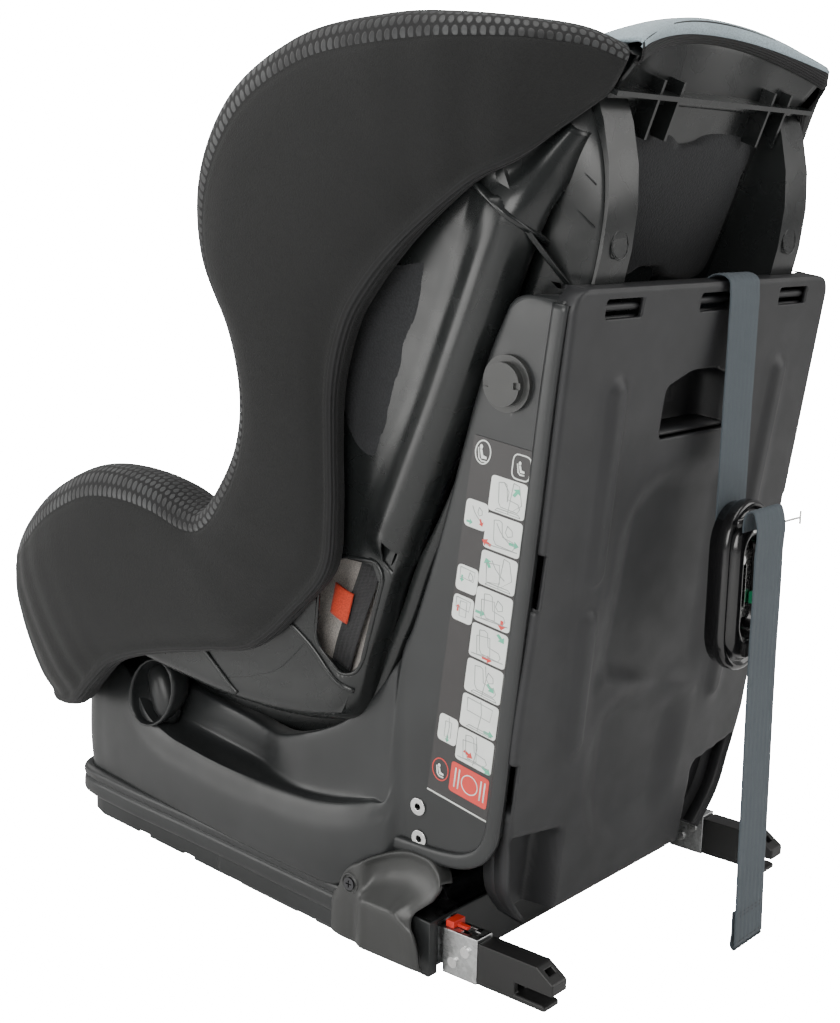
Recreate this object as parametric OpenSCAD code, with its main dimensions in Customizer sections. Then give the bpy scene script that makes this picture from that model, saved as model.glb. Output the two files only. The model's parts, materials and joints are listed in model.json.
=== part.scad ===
// Convertible child car seat: a reclining moulded seat shell on a base with ISOFIX arms and a top tether.
// Frame: +X is the child's left, the seat faces -Y, +Z is up, and the origin is the middle of the base's
// underside. All sizes are in millimetres.

/* [Base] */
// Height of the base tray up to its rim
tray_h = 38; // [30:1:42]
// Half width of the base tray at its front end
tray_front_half = 128; // [120:1:130]
// Half width of the base tray at its rear end
tray_rear_half = 158; // [156:1:160]
// Position of the front end of the tray
tray_front_y = -200; // [-205:1:-195]
// Position of the rear end of the tray
tray_rear_y = 187; // [184:1:189]
// Wall thickness of the moulded base parts
wall = 3; // [2.5:0.1:3.2]

/* [Rear panel] */
// Half width of the rear panel at its top corners
panel_top_half = 156; // [152:1:158]
// Height of the rear panel along its own slope
panel_len = 415; // [405:1:418]
// Backward lean of the rear panel in degrees
panel_lean = 7.06; // [6.8:0.02:7.2]

/* [Seat shell] */
// Half width of the seat shell over its side walls
shell_half = 163; // [161:1:163]
// Thickness of the shell's side walls
shell_wall = 3.5; // [2.5:0.1:3.6]
// Backward lean of the seat back in degrees
back_lean = 20.4; // [20:0.1:20.8]
// Radius of the curved runners under the seat, about the recline axis
runner_r = 490; // [489:0.5:490]

/* [ISOFIX] */
// Distance between the middles of the two ISOFIX arms
isofix_spacing = 280; // [279:0.5:281]
// Width of one ISOFIX connector
connector_w = 16; // [15:0.5:16]

/* [Webbing] */
// Width of the harness webbing
strap_w = 38; // [34:1:38]
// Thickness of the webbing
strap_t = 1.5; // [1.2:0.1:1.6]

/* [Hidden] */
$fn = 48;

plastic = "#2b2c2e";
gloss = "#151618";
steel = "#b9bcc0";
red = "#d8432a";
fabric = "#26272a";
light_fabric = "#aebcc6";
webbing = "#6f7c88";

// Recline axis, which runs along X above the seat
axis_y = 20;
axis_z = 600;
// Foot of the rear panel's outer face
panel_y = 227;
panel_z = 34;
panel_foot_half = 110;
panel_waist_half = 143;
panel_waist_s = 78;
panel_t = 4;
panel_slope = tan(panel_lean);
// Outer face of the uprights, where it meets the waist of the panel, and its outward tilt
upright_x = 146;
upright_z = 111;
upright_tilt = 1.71;
// Front face of the seat back at its foot
back_y = 103.5;
back_z = 150;
back_t = 4;
arm_x = isofix_spacing / 2;

// Points of an arc of radius r about the recline axis, as [y, z], from angle a0 to a1 below the axis
function ring(r, a0, a1, n = 16) =
    [for (i = [0 : n]) let (a = a0 + (a1 - a0) * i / n) [axis_y + r * sin(a), axis_z - r * cos(a)]];
// Points of an arc of radius r about c
function arc(c, r, a0, a1, n = 8) =
    [for (i = [0 : n]) let (a = a0 + (a1 - a0) * i / n) [c[0] + r * cos(a), c[1] + r * sin(a)]];
// Half width of the tray at the position y
function tray_half(y) = tray_front_half
    + (tray_rear_half - tray_front_half) * (y - tray_front_y) / (tray_rear_y - tray_front_y);

// Extrudes a [y, z] outline along X from x0 to x1
module along_x(x0, x1) {
    translate([x0, 0, 0])
        rotate([90, 0, 90])
            linear_extrude(x1 - x0)
                children();
}
module both_sides() {
    children();
    mirror([1, 0, 0])
        children();
}
module x_rod(x0, x1, y, z, r) {
    translate([x0, y, z])
        rotate([0, 90, 0])
            cylinder(h = x1 - x0, r = r);
}
// A plate between two arcs about the recline axis
module ring_plate(x0, x1, r0, r1, a0, a1) {
    along_x(x0, x1)
        polygon(concat(ring(r0, a0, a1), ring(r1, a1, a0)));
}
// Places children in the frame of the rear panel: X across, Y outward, Z up the panel from its foot
module on_panel() {
    translate([0, panel_y, panel_z])
        rotate([-panel_lean, 0, 0])
            children();
}
// Places children in the frame of the upright's outer side face
module on_upright() {
    translate([upright_x, 0, upright_z])
        rotate([0, upright_tilt, 0])
            translate([-upright_x, 0, -upright_z])
                children();
}
// Places children in the frame of the seat back: X across, -Y towards the child, Z up the back
module on_back() {
    translate([0, back_y, back_z])
        rotate([-back_lean, 0, 0])
            children();
}
// Places children on the radius at angle a below the recline axis, with -Z pointing away from the axis
module on_radius(a) {
    translate([0, axis_y, axis_z])
        rotate([a, 0, 0])
            children();
}

// ---- Base ----

module tray_plan(inset) {
    corner = 22;
    front = tray_front_y + inset;
    rear = tray_rear_y - inset;
    polygon([
        [-(tray_front_half - inset - corner), front], [tray_front_half - inset - corner, front],
        [tray_front_half - inset - 6, front + 6], [tray_front_half - inset, front + corner],
        [tray_rear_half - inset, rear], [-(tray_rear_half - inset), rear],
        [-(tray_front_half - inset), front + corner], [-(tray_front_half - inset - 6), front + 6]
    ]);
}
module base_tray() {
    rim_h = 4;
    color(plastic)
    difference() {
        union() {
            linear_extrude(tray_h)
                tray_plan(0);
            intersection() {
                translate([0, 0, tray_h - rim_h])
                    linear_extrude(rim_h)
                        tray_plan(-5);
                translate([-200, -250, 0])
                    cube([400, 350, tray_h]);
            }
        }
        translate([0, 0, wall])
            linear_extrude(tray_h)
                tray_plan(2.2);
        // Openings for the arms through the floor and the rear wall
        both_sides()
            translate([arm_x - 9, 58, -1])
                cube([18, 140, 37]);
        // Small feet notches along the lower edge
        for (y = [-130, -74, -18])
            translate([-200, y, -1])
                cube([400, 14, 3]);
    }
}
function hump(d) = [
    [-203 + d, 38.3], [-203 + d, 58], [-199 + d, 82], [-188 + d, 110 - d], [-170 + d, 132 - d],
    [-147, 142 - d], [-125, 144 - d], [-104, 142 - d], [-73, 132 - d], [-40, 123 - d], [-9, 119 - d],
    [20, 118 - d], [45, 120 - d], [70, 128 - d], [90, 140 - d], [103 - d, 150 - d], [103 - d, 38.3]
];
function upright(d) = concat(
    [[96 + d, 120], [103 + d, 150 + d], [118 + d, 168], [138 + d, 192], [158 + d, 232], [181 + d, 292],
     [203 + d, 362], [220 + d, 412 - d], [230 + d, 432 - d], [244, 440 - d], [260, 442 - d]],
    [[rear_edge(436) - d, 441 - d], [rear_edge(111) - d, 111 + d]],
    [[226 - d, 92 + d], [214 - d, 80 + d], [198, 75 + d], [96 + d, 74 + d]]
);
// The uprights' rear edge follows the front face of the rear panel
function rear_edge(z) = panel_y + (z - panel_z) * panel_slope - panel_t - 1;
module base_shell() {
    hump_x = 112;
    flange_x = 122;
    color(plastic)
    difference() {
        union() {
            // Padded-looking side humps, hollow from below
            both_sides()
            difference() {
                intersection() {
                    along_x(hump_x, 170)
                        polygon(hump(0));
                    linear_extrude(200)
                        tray_plan(-3);
                }
                intersection() {
                    translate([0, 0, -0.5])
                        along_x(hump_x + wall, 170)
                            polygon(hump(wall));
                    linear_extrude(200)
                        tray_plan(0);
                }
            }
            // Front and rear cross beams
            translate([-hump_x - 2, -203, 38.3])
                cube([2 * hump_x + 4, wall, 34]);
            translate([-hump_x - 2, -203, 69.3])
                cube([2 * hump_x + 4, 15, wall]);
            translate([-143, 184, 38.3])
                cube([286, wall, 46]);
            both_sides()
            on_upright()
            difference() {
                along_x(flange_x, upright_x)
                    polygon(upright(0));
                translate([-wall, 0, 0])
                    along_x(flange_x - 1, upright_x)
                        polygon(upright(4));
            }
        }
        // Holes for the side rivets and the pivot caps
        both_sides()
        on_upright() {
            for (p = rivet_points)
                x_rod(upright_x - 8, upright_x + 1, p[0], p[1], rivet_shank_r + 0.05);
            x_rod(upright_x - 8, upright_x + 1, cap_y, cap_z, cap_shank_r + 0.1);
        }
    }
}
rivet_points = [[165, 108], [166, 86]];
rivet_shank_r = 3.5;
cap_y = 232;
cap_z = 390;
cap_shank_r = 7;
module rear_panel() {
    corner = 14;
    top = panel_len;
    color(plastic)
    on_panel()
    difference() {
        union() {
            rotate([90, 0, 0])
                linear_extrude(panel_t)
                    polygon(concat(
                        [[-panel_foot_half, 0], [panel_foot_half, 0], [panel_foot_half + 17, 20],
                         [panel_waist_half - 6, 56], [panel_waist_half, panel_waist_s]],
                        arc([panel_top_half - corner, top - corner], corner, 0, 90),
                        arc([corner - panel_top_half, top - corner], corner, 90, 180),
                        [[-panel_waist_half, panel_waist_s], [6 - panel_waist_half, 56],
                         [-panel_foot_half - 17, 20]]
                    ));
            // Long pressed ribs
            both_sides()
            translate([88, 2, 135])
                rotate([90, 0, 0])
                    rotate([0, 0, -3.4])
                        linear_extrude(3)
                            polygon(concat(arc([0, 9], 9, 180, 360), arc([0, 220], 9, 0, 180)));
            // Walls of the storage pocket behind the opening
            translate([-46, -28, 314])
                cube([92, 25, 49]);
        }
        translate([-43.5, -26, 317])
            cube([87, 40, 43]);
        // Clip slots along the top and side edges
        for (x = [-124, -22, 84])
            translate([x, -20, 396])
                cube([40, 40, 14]);
        both_sides()
        for (s = [[222, 36], [77, 45]])
            translate([panel_waist_half + 0.030 * (s[0] - panel_waist_s) - 3, -20, s[0]])
                cube([20, 40, s[1]]);
    }
}
module base_frame() {
    plate_x = 109.5;
    color(steel)
    difference() {
        union() {
            both_sides()
            difference() {
                along_x(plate_x - 2.5, plate_x)
                    polygon(concat(
                        [[178, 4], [-72, 4]], ring(493, -10.8, 10.9)
                    ));
                // Curved slot for the carriage bolt
                ring_plate(plate_x - 3, plate_x + 1, bolt_ring_r - bolt_r - 0.3, bolt_ring_r + bolt_r + 0.3,
                    bolt_a - recline_travel - 0.6, bolt_a + 0.6);
            }
            for (p = [[150, 24], [-50, 20]])
                x_rod(-plate_x + 1, plate_x - 1, p[0], p[1], 9);
            both_sides()
                translate([plate_x - 1, 140, 8])
                    cube([21.5, 30, 22]);
        }
        for (p = [[150, 24], [-50, 20]])
            x_rod(-plate_x - 3, plate_x + 3, p[0], p[1], 7.5);
        both_sides()
            translate([plate_x + 1, 138, 10])
                cube([30, 34, 18]);
    }
}
recline_travel = 12;
bolt_r = 5;
bolt_ring_r = 503;
bolt_a = 4;
rail_x = 70;
rail_w = 12;
module recline_rails() {
    color(gloss)
    both_sides()
    difference() {
        along_x(rail_x, rail_x + rail_w)
            polygon(concat([[112, 3.3], [-160, 3.3], [-186, 40]], ring(runner_r - 2, -23.5, 10.6)));
        // Curved face that the runners of the seat slide on
        x_rod(rail_x - 1, rail_x + rail_w + 1, axis_y, axis_z, runner_r + 0.4, $fn = 360);
        along_x(rail_x + 2.5, rail_x + rail_w + 1)
            polygon(concat([[106, 9], [-154, 9], [-178, 44]], ring(runner_r + 9, -23, 9.8)));
        for (p = [[150, 24], [-50, 20]])
            x_rod(rail_x - 1, rail_x + rail_w + 1, p[0], p[1], 9.5);
    }
}
rack_x = -45;
latch_a = -7;
latch_r = 5;
notch_count = 5;
module recline_rack() {
    tooth = recline_travel / (notch_count - 1);
    color(steel)
    difference() {
        along_x(rack_x - 12, rack_x + 12)
            polygon(concat([[-20, 3.3], [-150, 3.3]], ring(511, latch_a - recline_travel - 2, latch_a + 2)));
        along_x(rack_x - 9.5, rack_x + 13)
            polygon(concat([[-24, 8], [-146, 8]],
                ring(524, latch_a - recline_travel - 1.4, latch_a + 1.4)));
        for (i = [0 : notch_count - 1])
            on_radius(latch_a - tooth * i)
                translate([rack_x, 0, -530])
                    cylinder(h = 30, r = latch_r + 0.4);
        x_rod(rack_x - 14, rack_x + 14, -50, 20, 9.5);
    }
}
module isofix_guides() {
    tube_x = 5.5;
    color(steel)
    both_sides()
    translate([arm_x, 0, 0])
    difference() {
        translate([-tube_x - 2, 96, 3.2])
            cube([2 * tube_x + 4, 88, 30.6]);
        translate([-tube_x - 0.3, 90, 5.2])
            cube([2 * tube_x + 0.6, 100, 26.6]);
    }
}
module corner_covers() {
    color(gloss)
    both_sides()
    difference() {
        union() {
            along_x(tray_rear_half + 2, tray_rear_half + 9)
                polygon(concat([[190, 6], [196, 14]], arc([186, 60], 11, 0, 80, 4),
                    [[150, 72], [128, 66], [108, 52], [104, 40], [104, 12], [112, 6]]));
            along_x(150, tray_rear_half + 3)
                polygon([[189, 39], [189, 62], [150, 69], [128, 63], [110, 50], [108, 39]]);
        }
        x_rod(tray_rear_half + 4, tray_rear_half + 12, screw_y, screw_z, 5);
        x_rod(tray_rear_half - 12, tray_rear_half + 12, screw_y, screw_z, 2.6);
    }
}
screw_y = 122;
screw_z = 47;
module cover_screws() {
    color(steel)
    both_sides()
    difference() {
        union() {
            x_rod(tray_rear_half + 4.2, tray_rear_half + 6.8, screw_y, screw_z, 4.4);
            x_rod(tray_rear_half - 11, tray_rear_half + 4.5, screw_y, screw_z, 2.3);
        }
        for (turn = [0, 90])
            translate([tray_rear_half + 7, screw_y, screw_z])
                rotate([turn, 0, 0])
                    cube([3, 5, 1], center = true);
    }
}
module side_rivets() {
    color(steel)
    both_sides()
    on_upright()
    for (p = rivet_points)
        difference() {
            union() {
                x_rod(upright_x + 0.02, upright_x + 1.4, p[0], p[1], 6);
                x_rod(upright_x - 5, upright_x + 0.5, p[0], p[1], rivet_shank_r);
            }
            x_rod(upright_x - 6, upright_x + 3, p[0], p[1], 2.2);
        }
}
module pivot_caps() {
    color(gloss)
    both_sides()
    on_upright()
    difference() {
        union() {
            x_rod(upright_x + 0.05, upright_x + 3, cap_y, cap_z, 17);
            x_rod(upright_x + 1, upright_x + 8, cap_y, cap_z, 13);
            x_rod(upright_x - 6, upright_x + 1, cap_y, cap_z, cap_shank_r);
        }
        for (turn = [0, 180])
            translate([upright_x + 8, cap_y, cap_z])
                rotate([turn, 0, 0])
                    translate([0, 11, 0])
                        cube([3, 4, 4], center = true);
        x_rod(upright_x - 7, upright_x + 5, cap_y, cap_z, 4.5);
    }
}
module instruction_labels() {
    color("white")
    both_sides()
    on_upright()
    along_x(upright_x + 0.05, upright_x + 0.55)
        polygon([[212, 356], [248, 352], [226, 122], [178, 122]]);
}

// ---- Top tether ----

tether_x = -28;
tether_y = 282;
adjuster_z = 248;
adjuster_half = 29.5;
adjuster_d = 20;
tail_y = 305;
module tether_strap() {
    color(webbing)
    along_x(tether_x - strap_w / 2, tether_x + strap_w / 2)
        polygon([
            [260, 404], [260 + strap_t, 404], [264.5, 448.5], [tether_y - strap_t, 449.2],
            [tether_y - 1.8, 262], [tether_y - 0.3, 262], [tether_y - 0.1, 450], [263, 450.2]
        ]);
}
module stadium(half, len) {
    polygon(concat(arc([0, len / 2], half, 0, 180, 16), arc([0, -len / 2], half, 180, 360, 16)));
}
module tether_adjuster() {
    color(gloss)
    translate([tether_x, tether_y + adjuster_d, adjuster_z])
    rotate([90, 0, 0])
    difference() {
        union() {
            linear_extrude(adjuster_d)
                stadium(adjuster_half - 2.5, 56);
            translate([0, 0, 5])
                linear_extrude(8)
                    stadium(adjuster_half, 56);
        }
        translate([0, 0, -1])
            linear_extrude(15)
                stadium(14, 34);
        // Slot for the webbing loop at the top
        translate([-20, 36, -1])
            cube([40, 5, adjuster_d + 2]);
    }
}
gate_x = tether_x + 6.5;
gate_top = 266;
gate_pin_r = 1.5;
module tether_hook() {
    color(steel)
    translate([0, tether_y + 8, 0])
    difference() {
        translate([tether_x - 12, 0, 225])
            cube([21, 3, 46]);
        translate([tether_x - 5, -1, 232])
            cube([17, 5, 29]);
        translate([gate_x, 5, gate_top])
            rotate([90, 0, 0])
                cylinder(h = 8, r = gate_pin_r + 0.05);
    }
}
module tether_gate() {
    color(steel)
    union() {
        translate([gate_x, tether_y + 13, 229])
            cylinder(h = gate_top - 229, r = 1.7);
        translate([gate_x, tether_y + 14.8, gate_top])
            rotate([90, 0, 0]) {
                cylinder(h = 3.6, r = 3);
                cylinder(h = 7, r = gate_pin_r);
            }
    }
}
module tension_indicator() {
    color("#1f9d55")
    translate([tether_x - 13.5, tether_y + 12, 234])
        cube([5, 3, 8]);
}
module tether_release() {
    color(gloss)
    translate([tether_x - 12, tether_y + adjuster_d + 0.2, 203])
        cube([24, 3, 9]);
}
module tether_tail() {
    tail_end = 4;
    fold = 26;
    color(webbing)
    along_x(tether_x + 4 - strap_w / 2, tether_x + 4 + strap_w / 2)
        polygon([
            [tail_y, 296], [tail_y + 3, 300], [tail_y + strap_t + 4, 296],
            [tail_y + 8, 200], [tail_y + 12.5, tail_end + fold], [tail_y + 14.5, tail_end + fold - 3],
            [tail_y + 14.5, tail_end], [tail_y + 10.5, tail_end], [tail_y + 9.5, tail_end + fold],
            [tail_y + 5, 200]
        ]);
}
module tag_pin() {
    color("white")
    x_rod(tether_x - 44, tether_x - 16, tail_y + 3, 288.5, 1.2);
}

// ---- ISOFIX arms, built at the left side and mirrored ----

sleeve_front = 190;
jaw_front = 218;
module arm() {
    half = connector_w / 2;
    color(steel)
    difference() {
        union() {
            translate([arm_x - 5.5, 62, 6])
                cube([11, 130, 25]);
            translate([arm_x - half, sleeve_front, 2])
                cube([connector_w, jaw_front - sleeve_front, 31]);
        }
        translate([arm_x - 4, 61, 7.5])
            cube([8, 170, 22]);
        // Cross-shaped window in the top of the sleeve
        translate([arm_x - 2, sleeve_front + 8, 25])
            cube([4, 15, 10]);
        translate([arm_x - 5, sleeve_front + 13, 25])
            cube([10, 5, 10]);
        for (p = arm_rivet_points)
            x_rod(arm_x - 20, arm_x + 20, p[0], p[1], 2.05);
    }
}
arm_rivet_points = [[199, 12], [209, 22]];
module arm_rivets() {
    half = connector_w / 2;
    color("#d4d6d8")
    for (p = arm_rivet_points) {
        x_rod(arm_x - half - 1.5, arm_x + half + 1.5, p[0], p[1], 2);
        x_rod(arm_x + half + 0.02, arm_x + half + 1.5, p[0], p[1], 3.6);
        x_rod(arm_x - half - 1.5, arm_x - half - 0.02, p[0], p[1], 3.6);
    }
}
hook_y = 232;
hook_z = 21;
module jaw() {
    half = connector_w / 2;
    color(gloss)
    union() {
        difference() {
            along_x(arm_x - half, arm_x + half)
                polygon([
                    [jaw_front + 0.2, 3], [jaw_front + 0.2, 31], [264, 31], [277, 22.4], [277, 15.1],
                    [248, 15.1], [248, 6.9], [269, 6.9], [271.4, 5.6], [271.4, 3]
                ]);
            translate([arm_x - 3.5, jaw_front + 3, 6.9])
                cube([7, 50, 21.5]);
        }
        x_rod(arm_x - half + 1, arm_x + half - 1, hook_y, hook_z, 2);
    }
}
module hook() {
    color(steel)
    difference() {
        along_x(arm_x - 3, arm_x + 3)
            polygon([
                [hook_y - 4, hook_z - 4], [hook_y - 4, hook_z + 4], [hook_y + 4, hook_z + 5],
                [262, 26], [265, 22], [264, 16], [260, 16], [257, 19], [hook_y + 5, hook_z - 4]
            ]);
        x_rod(arm_x - 5, arm_x + 5, hook_y, hook_z, 2.06);
    }
}
module release_slider() {
    color(red)
    union() {
        translate([arm_x - 6, sleeve_front + 0.5, 33.3])
            cube([12, 6.5, 4.5]);
        translate([arm_x - 1.7, sleeve_front + 3, 33.3])
            cube([3.4, 12, 2]);
    }
}
module isofix_arm_left() { arm(); }
module isofix_jaw_left() { jaw(); }
module isofix_rivets_left() { arm_rivets(); }
module isofix_hook_left() { hook(); }
module isofix_release_left() { release_slider(); }
module isofix_arm_right() { mirror([1, 0, 0]) arm(); }
module isofix_jaw_right() { mirror([1, 0, 0]) jaw(); }
module isofix_rivets_right() { mirror([1, 0, 0]) arm_rivets(); }
module isofix_hook_right() { mirror([1, 0, 0]) hook(); }
module isofix_release_right() { mirror([1, 0, 0]) release_slider(); }

// ---- Seat shell ----

step_x = 106;
step_r = 448;
pan_front_a = -30;
pan_rear_a = 9;
fin_x0 = 90;
fin_x1 = 121;
head_half = 132;
function side_outline() = concat(
    [[112, 163], [132, 205], [153, 272], [205, 395], [238, 492], [224, 522], [212, 560]],
    [[204, 578], [183, 581], [112, 564], [74, 536], [44, 500], [38, 478], [42, 452], [68, 398], [76, 360],
     [76, 334], [60, 302], [36, 272], [0, 266], [-33, 280], [-96, 287], [-145, 260], [-178, 222]],
    ring(step_r - 1.8, -26, 11)
);
function fin_curve(d) = [
    [190, 340], [214, 358 + d], [236 - d, 380 + d], [252 - d, 408], [263 - d, 436], [270 - d, 466],
    [273 - d, 492], [272 - d, 516], [267 - d, 540], [261 - d, 556 - d]
];
module seat_shell() {
    color(plastic)
    difference() {
        union() {
            both_sides()
                along_x(shell_half - shell_wall, shell_half)
                    polygon(side_outline());
            // Back, full width above the base, narrow below and behind the head
            on_back() {
                translate([-shell_half + 1, 0, 17])
                    cube([2 * shell_half - 2, back_t, 350]);
                translate([-head_half, 0, 366])
                    cube([2 * head_half, back_t, 76]);
                translate([-step_x, 0, -34])
                    cube([2 * step_x, back_t, 54]);
            }
            // Pan: a low middle trough that rides on the rails, and raised sides
            ring_plate(-step_x, step_x, runner_r - 4, runner_r, pan_front_a, pan_rear_a);
            both_sides() {
                ring_plate(step_x - 3.5, step_x, step_r - 2, runner_r, pan_front_a + 0.3, pan_rear_a);
                ring_plate(step_x - 3.5, shell_half - 1, step_r - 4, step_r, pan_front_a + 0.6, 11);
            }
            // Front lip
            translate([-150, -228, 144])
                cube([300, 3.5, 34]);
            translate([-150, -227, 174.5])
                cube([300, 30, 3]);
            // Fins that stand behind the back
            both_sides()
            difference() {
                along_x(fin_x0, fin_x1)
                    polygon(concat(fin_curve(0), [[256, 556], [223, 468], [187, 372]]));
                along_x(fin_x0 + 3, fin_x1 - 3)
                    polygon(concat(fin_curve(3.5), [[250, 556], [216, 468], [180, 372]]));
            }
            // Ledge and stiffening ribs behind the head
            on_back() {
                translate([2 - fin_x1, 2, 437])
                    cube([2 * fin_x1 - 4, 17, 3]);
                for (x = [-88, -66, 46, 68])
                    translate([x, 2, 412])
                        cube([2.5, 14, 36]);
            }
            // Brackets of the carriage bolts and the handle
            for (x = [92, -96])
                translate([x, 0, 0])
                    difference() {
                        along_x(0, 4)
                            polygon(concat(ring(runner_r - 2, 2.6, 5.4, 4), ring(512, 5, 3, 4)));
                        x_rod(-1, 5, bolt_y, bolt_z, bolt_r + 0.05);
                    }
            both_sides()
            along_x(44, 48)
                polygon([[-226, 174], [-226, 134], [-206, 134], [-206, 170]]);
            // Guide bush of the recline latch
            on_radius(latch_a)
                translate([rack_x, 0, -506])
                    cylinder(h = 22, r = 9);
        }
        // Belt path windows in the side walls
        both_sides()
            along_x(shell_half - 12, shell_half + 2)
                polygon([[80, 204], [118, 190], [126, 196], [142, 256], [137, 266], [100, 267], [88, 258]]);
        // Harness slots and belt windows in the back
        on_back() {
            both_sides() {
                translate([16, -5, 300])
                    cube([10, 15, 78]);
                translate([17, -5, 372])
                    cube([22, 15, 9]);
                translate([29, -5, 285])
                    cube([strap_w + 4, 15, 6]);
                translate([34, -5, 338])
                    cube([34, 15, 16]);
            }
            translate([-22, -5, -30])
                cube([44, 15, 8]);
        }
        on_radius(latch_a)
            translate([rack_x, 0, -510])
                cylinder(h = 40, r = latch_r + 0.05);
        x_rod(-50, 50, handle_y, handle_z, handle_pin_r + 0.05);
    }
}
bolt_y = axis_y + bolt_ring_r * sin(bolt_a);
bolt_z = axis_z - bolt_ring_r * cos(bolt_a);
module carriage_bolts() {
    color(steel)
    both_sides()
        x_rod(88, 111.5, bolt_y, bolt_z, bolt_r);
}
handle_y = -214;
handle_z = 144;
handle_pin_r = 3;
module handle_pin() {
    color(steel)
    x_rod(-49, 49, handle_y, handle_z, handle_pin_r);
}
module recline_handle() {
    color(red)
    difference() {
        along_x(-43, 43)
            polygon(concat(
                [[-206, 150], [-222, 150], [-222, 138], [-246, 112]],
                arc([-243, 105], 6, 130, 270, 6),
                [[-236, 99], [-228, 106], [-208, 134]]
            ));
        x_rod(-44, 44, handle_y, handle_z, handle_pin_r + 0.05);
        along_x(-30, 30)
            polygon([[-240, 108], [-236, 104], [-220, 126], [-227, 130]]);
    }
}
module recline_latch() {
    color(steel)
    on_radius(latch_a)
        translate([rack_x, 0, -508.5])
            cylinder(h = 30, r = latch_r);
}
module latch_spring() {
    color("#d4d6d8")
    on_radius(latch_a)
        translate([rack_x, 0, 0])
            rotate([90, 0, 90])
                translate([0, 0, -4])
                    linear_extrude(8)
                        polygon([[-14, -485.3], [-14, -470], [6, -467], [6, -468], [-13, -471], [-13, -485.3]]);
}

// ---- Soft parts ----

module seat_foam() {
    color("white")
    difference() {
        ring_plate(-98, 98, 450, 480, -25, 3.5);
        on_radius(latch_a)
            translate([rack_x - 18, -18, -484])
                cube([36, 40, 36]);
    }
}
module wing_foam() {
    color("white")
    along_x(130, 158.5)
        polygon([
            [118, 300], [144, 300], [208, 480], [204, 545], [183, 566], [118, 550], [80, 522], [56, 492],
            [54, 462],
            [82, 400], [90, 350]
        ]);
}
module wing_foam_left() { wing_foam(); }
module wing_foam_right() { mirror([1, 0, 0]) wing_foam(); }
module seat_cushion() {
    color(fabric)
    difference() {
        ring_plate(-134, 134, 410, 443, -29, 6);
        translate([-15, -99, 100])
            cube([30, 6, 200]);
    }
}
module back_cushion() {
    color(fabric)
    on_back()
    difference() {
        translate([-116, -30, 38])
            cube([232, 29, 258]);
        both_sides()
            translate([28, -40, 284])
                cube([strap_w + 6, 60, 8]);
    }
}
module head_cushion() {
    color(fabric)
    on_back()
    translate([-104, -36, 300])
        cube([208, 35, 130]);
}
function cover_outline() = [
    [-150, 114], [-200, 122], [-205, 170], [-197, 212], [-176, 250], [-140, 282], [-96, 302], [-33, 296],
    [8, 283], [32, 294], [52, 318], [60, 350], [54, 394], [32, 436], [21, 470], [24, 508], [50, 548],
    [98, 580], [150, 592], [196, 592], [206, 560], [196, 500], [169, 470], [138, 434], [121, 383], [116, 269],
    [90, 238], [53, 206], [-37, 183], [-105, 160]
];
module cover_side() {
    color(fabric)
    union() {
        along_x(166, 208)
            polygon(cover_outline());
        translate([0, 0, 548])
            linear_extrude(40)
                polygon([[126, 264], [126, 284], [146, 278], [157, 264]]);
    }
}
module cover_left() { cover_side(); }
module cover_right() { mirror([1, 0, 0]) cover_side(); }
module cover_front() {
    color(fabric)
    difference() {
        along_x(-158, 158)
            polygon([[-250, 100], [-258, 106], [-265, 130], [-265, 185], [-252, 206], [-233, 210],
                [-233, 158], [-250, 150]]);
        // Opening under the front edge for the recline handle
        translate([-58, -280, 90])
            cube([116, 40, 56]);
    }
}
module head_top_panel() {
    crown = 309;
    color(light_fabric)
    translate([0, 284, 0])
    rotate([90, 0, 0])
    linear_extrude(96)
        polygon(concat(arc([0, 600 - crown], crown, 68.5, 111.5, 12),
            arc([0, 600 - crown], crown - 7, 111.5, 68.5, 12)));
}
module belt_liners() {
    color("#b5b2ac")
    both_sides()
    along_x(140, 145)
        polygon([[66, 196], [112, 196], [142, 284], [74, 284]]);
}

// ---- Harness ----

// A flat strap of the given width between two points, each [x, y, z], whose faces point mostly up and down
module strap_run(a, b, w, t) {
    d = b - a;
    yaw = atan2(d[0], -d[1]);
    pitch = atan2(d[2], norm([d[0], d[1]]));
    translate(a)
        rotate([0, 0, yaw])
            rotate([-pitch, 0, 0])
                translate([-w / 2, -norm(d), -t / 2])
                    cube([w, norm(d), t]);
}
shoulder_x = 50;
shoulder_top = [shoulder_x, 158, 438];
shoulder_end = [13, -96, 352];
module shoulder_straps() {
    color(webbing)
    both_sides() {
        strap_run(shoulder_top, shoulder_end, strap_w - 14, strap_t);
        on_back()
            translate([shoulder_x - 12, -38, 286])
                cube([24, 46, strap_t]);
        on_back()
            translate([shoulder_x - 12, 6.5, 214])
                cube([24, strap_t, 73]);
    }
}
module shoulder_pads() {
    color(fabric)
    both_sides()
    difference() {
        strap_run(pad_point(0.10), pad_point(0.62), strap_w + 4, 13);
        strap_run(pad_point(0.05), pad_point(0.68), strap_w - 10, 3.5);
    }
}
function pad_point(f) = shoulder_top + f * (shoulder_end - shoulder_top);
module lap_straps() {
    color(webbing)
    both_sides() {
        strap_run([30, -88, 336], [112, 58, 226], strap_w - 14, strap_t);
        along_x(148, 148 + strap_t)
            polygon([[78, 200], [104, 192], [136, 262], [110, 270]]);
    }
}
module strap_tags() {
    color(red)
    both_sides()
    along_x(150, 151.2)
        polygon([[84, 226], [102, 224], [110, 246], [92, 248]]);
}
module splitter_plate() {
    color(steel)
    on_back()
    difference() {
        translate([-72, 9, 206])
            cube([144, 3, 22]);
        both_sides()
            translate([shoulder_x - 14, 8, 215])
                cube([28, 5, 4]);
    }
}
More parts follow.
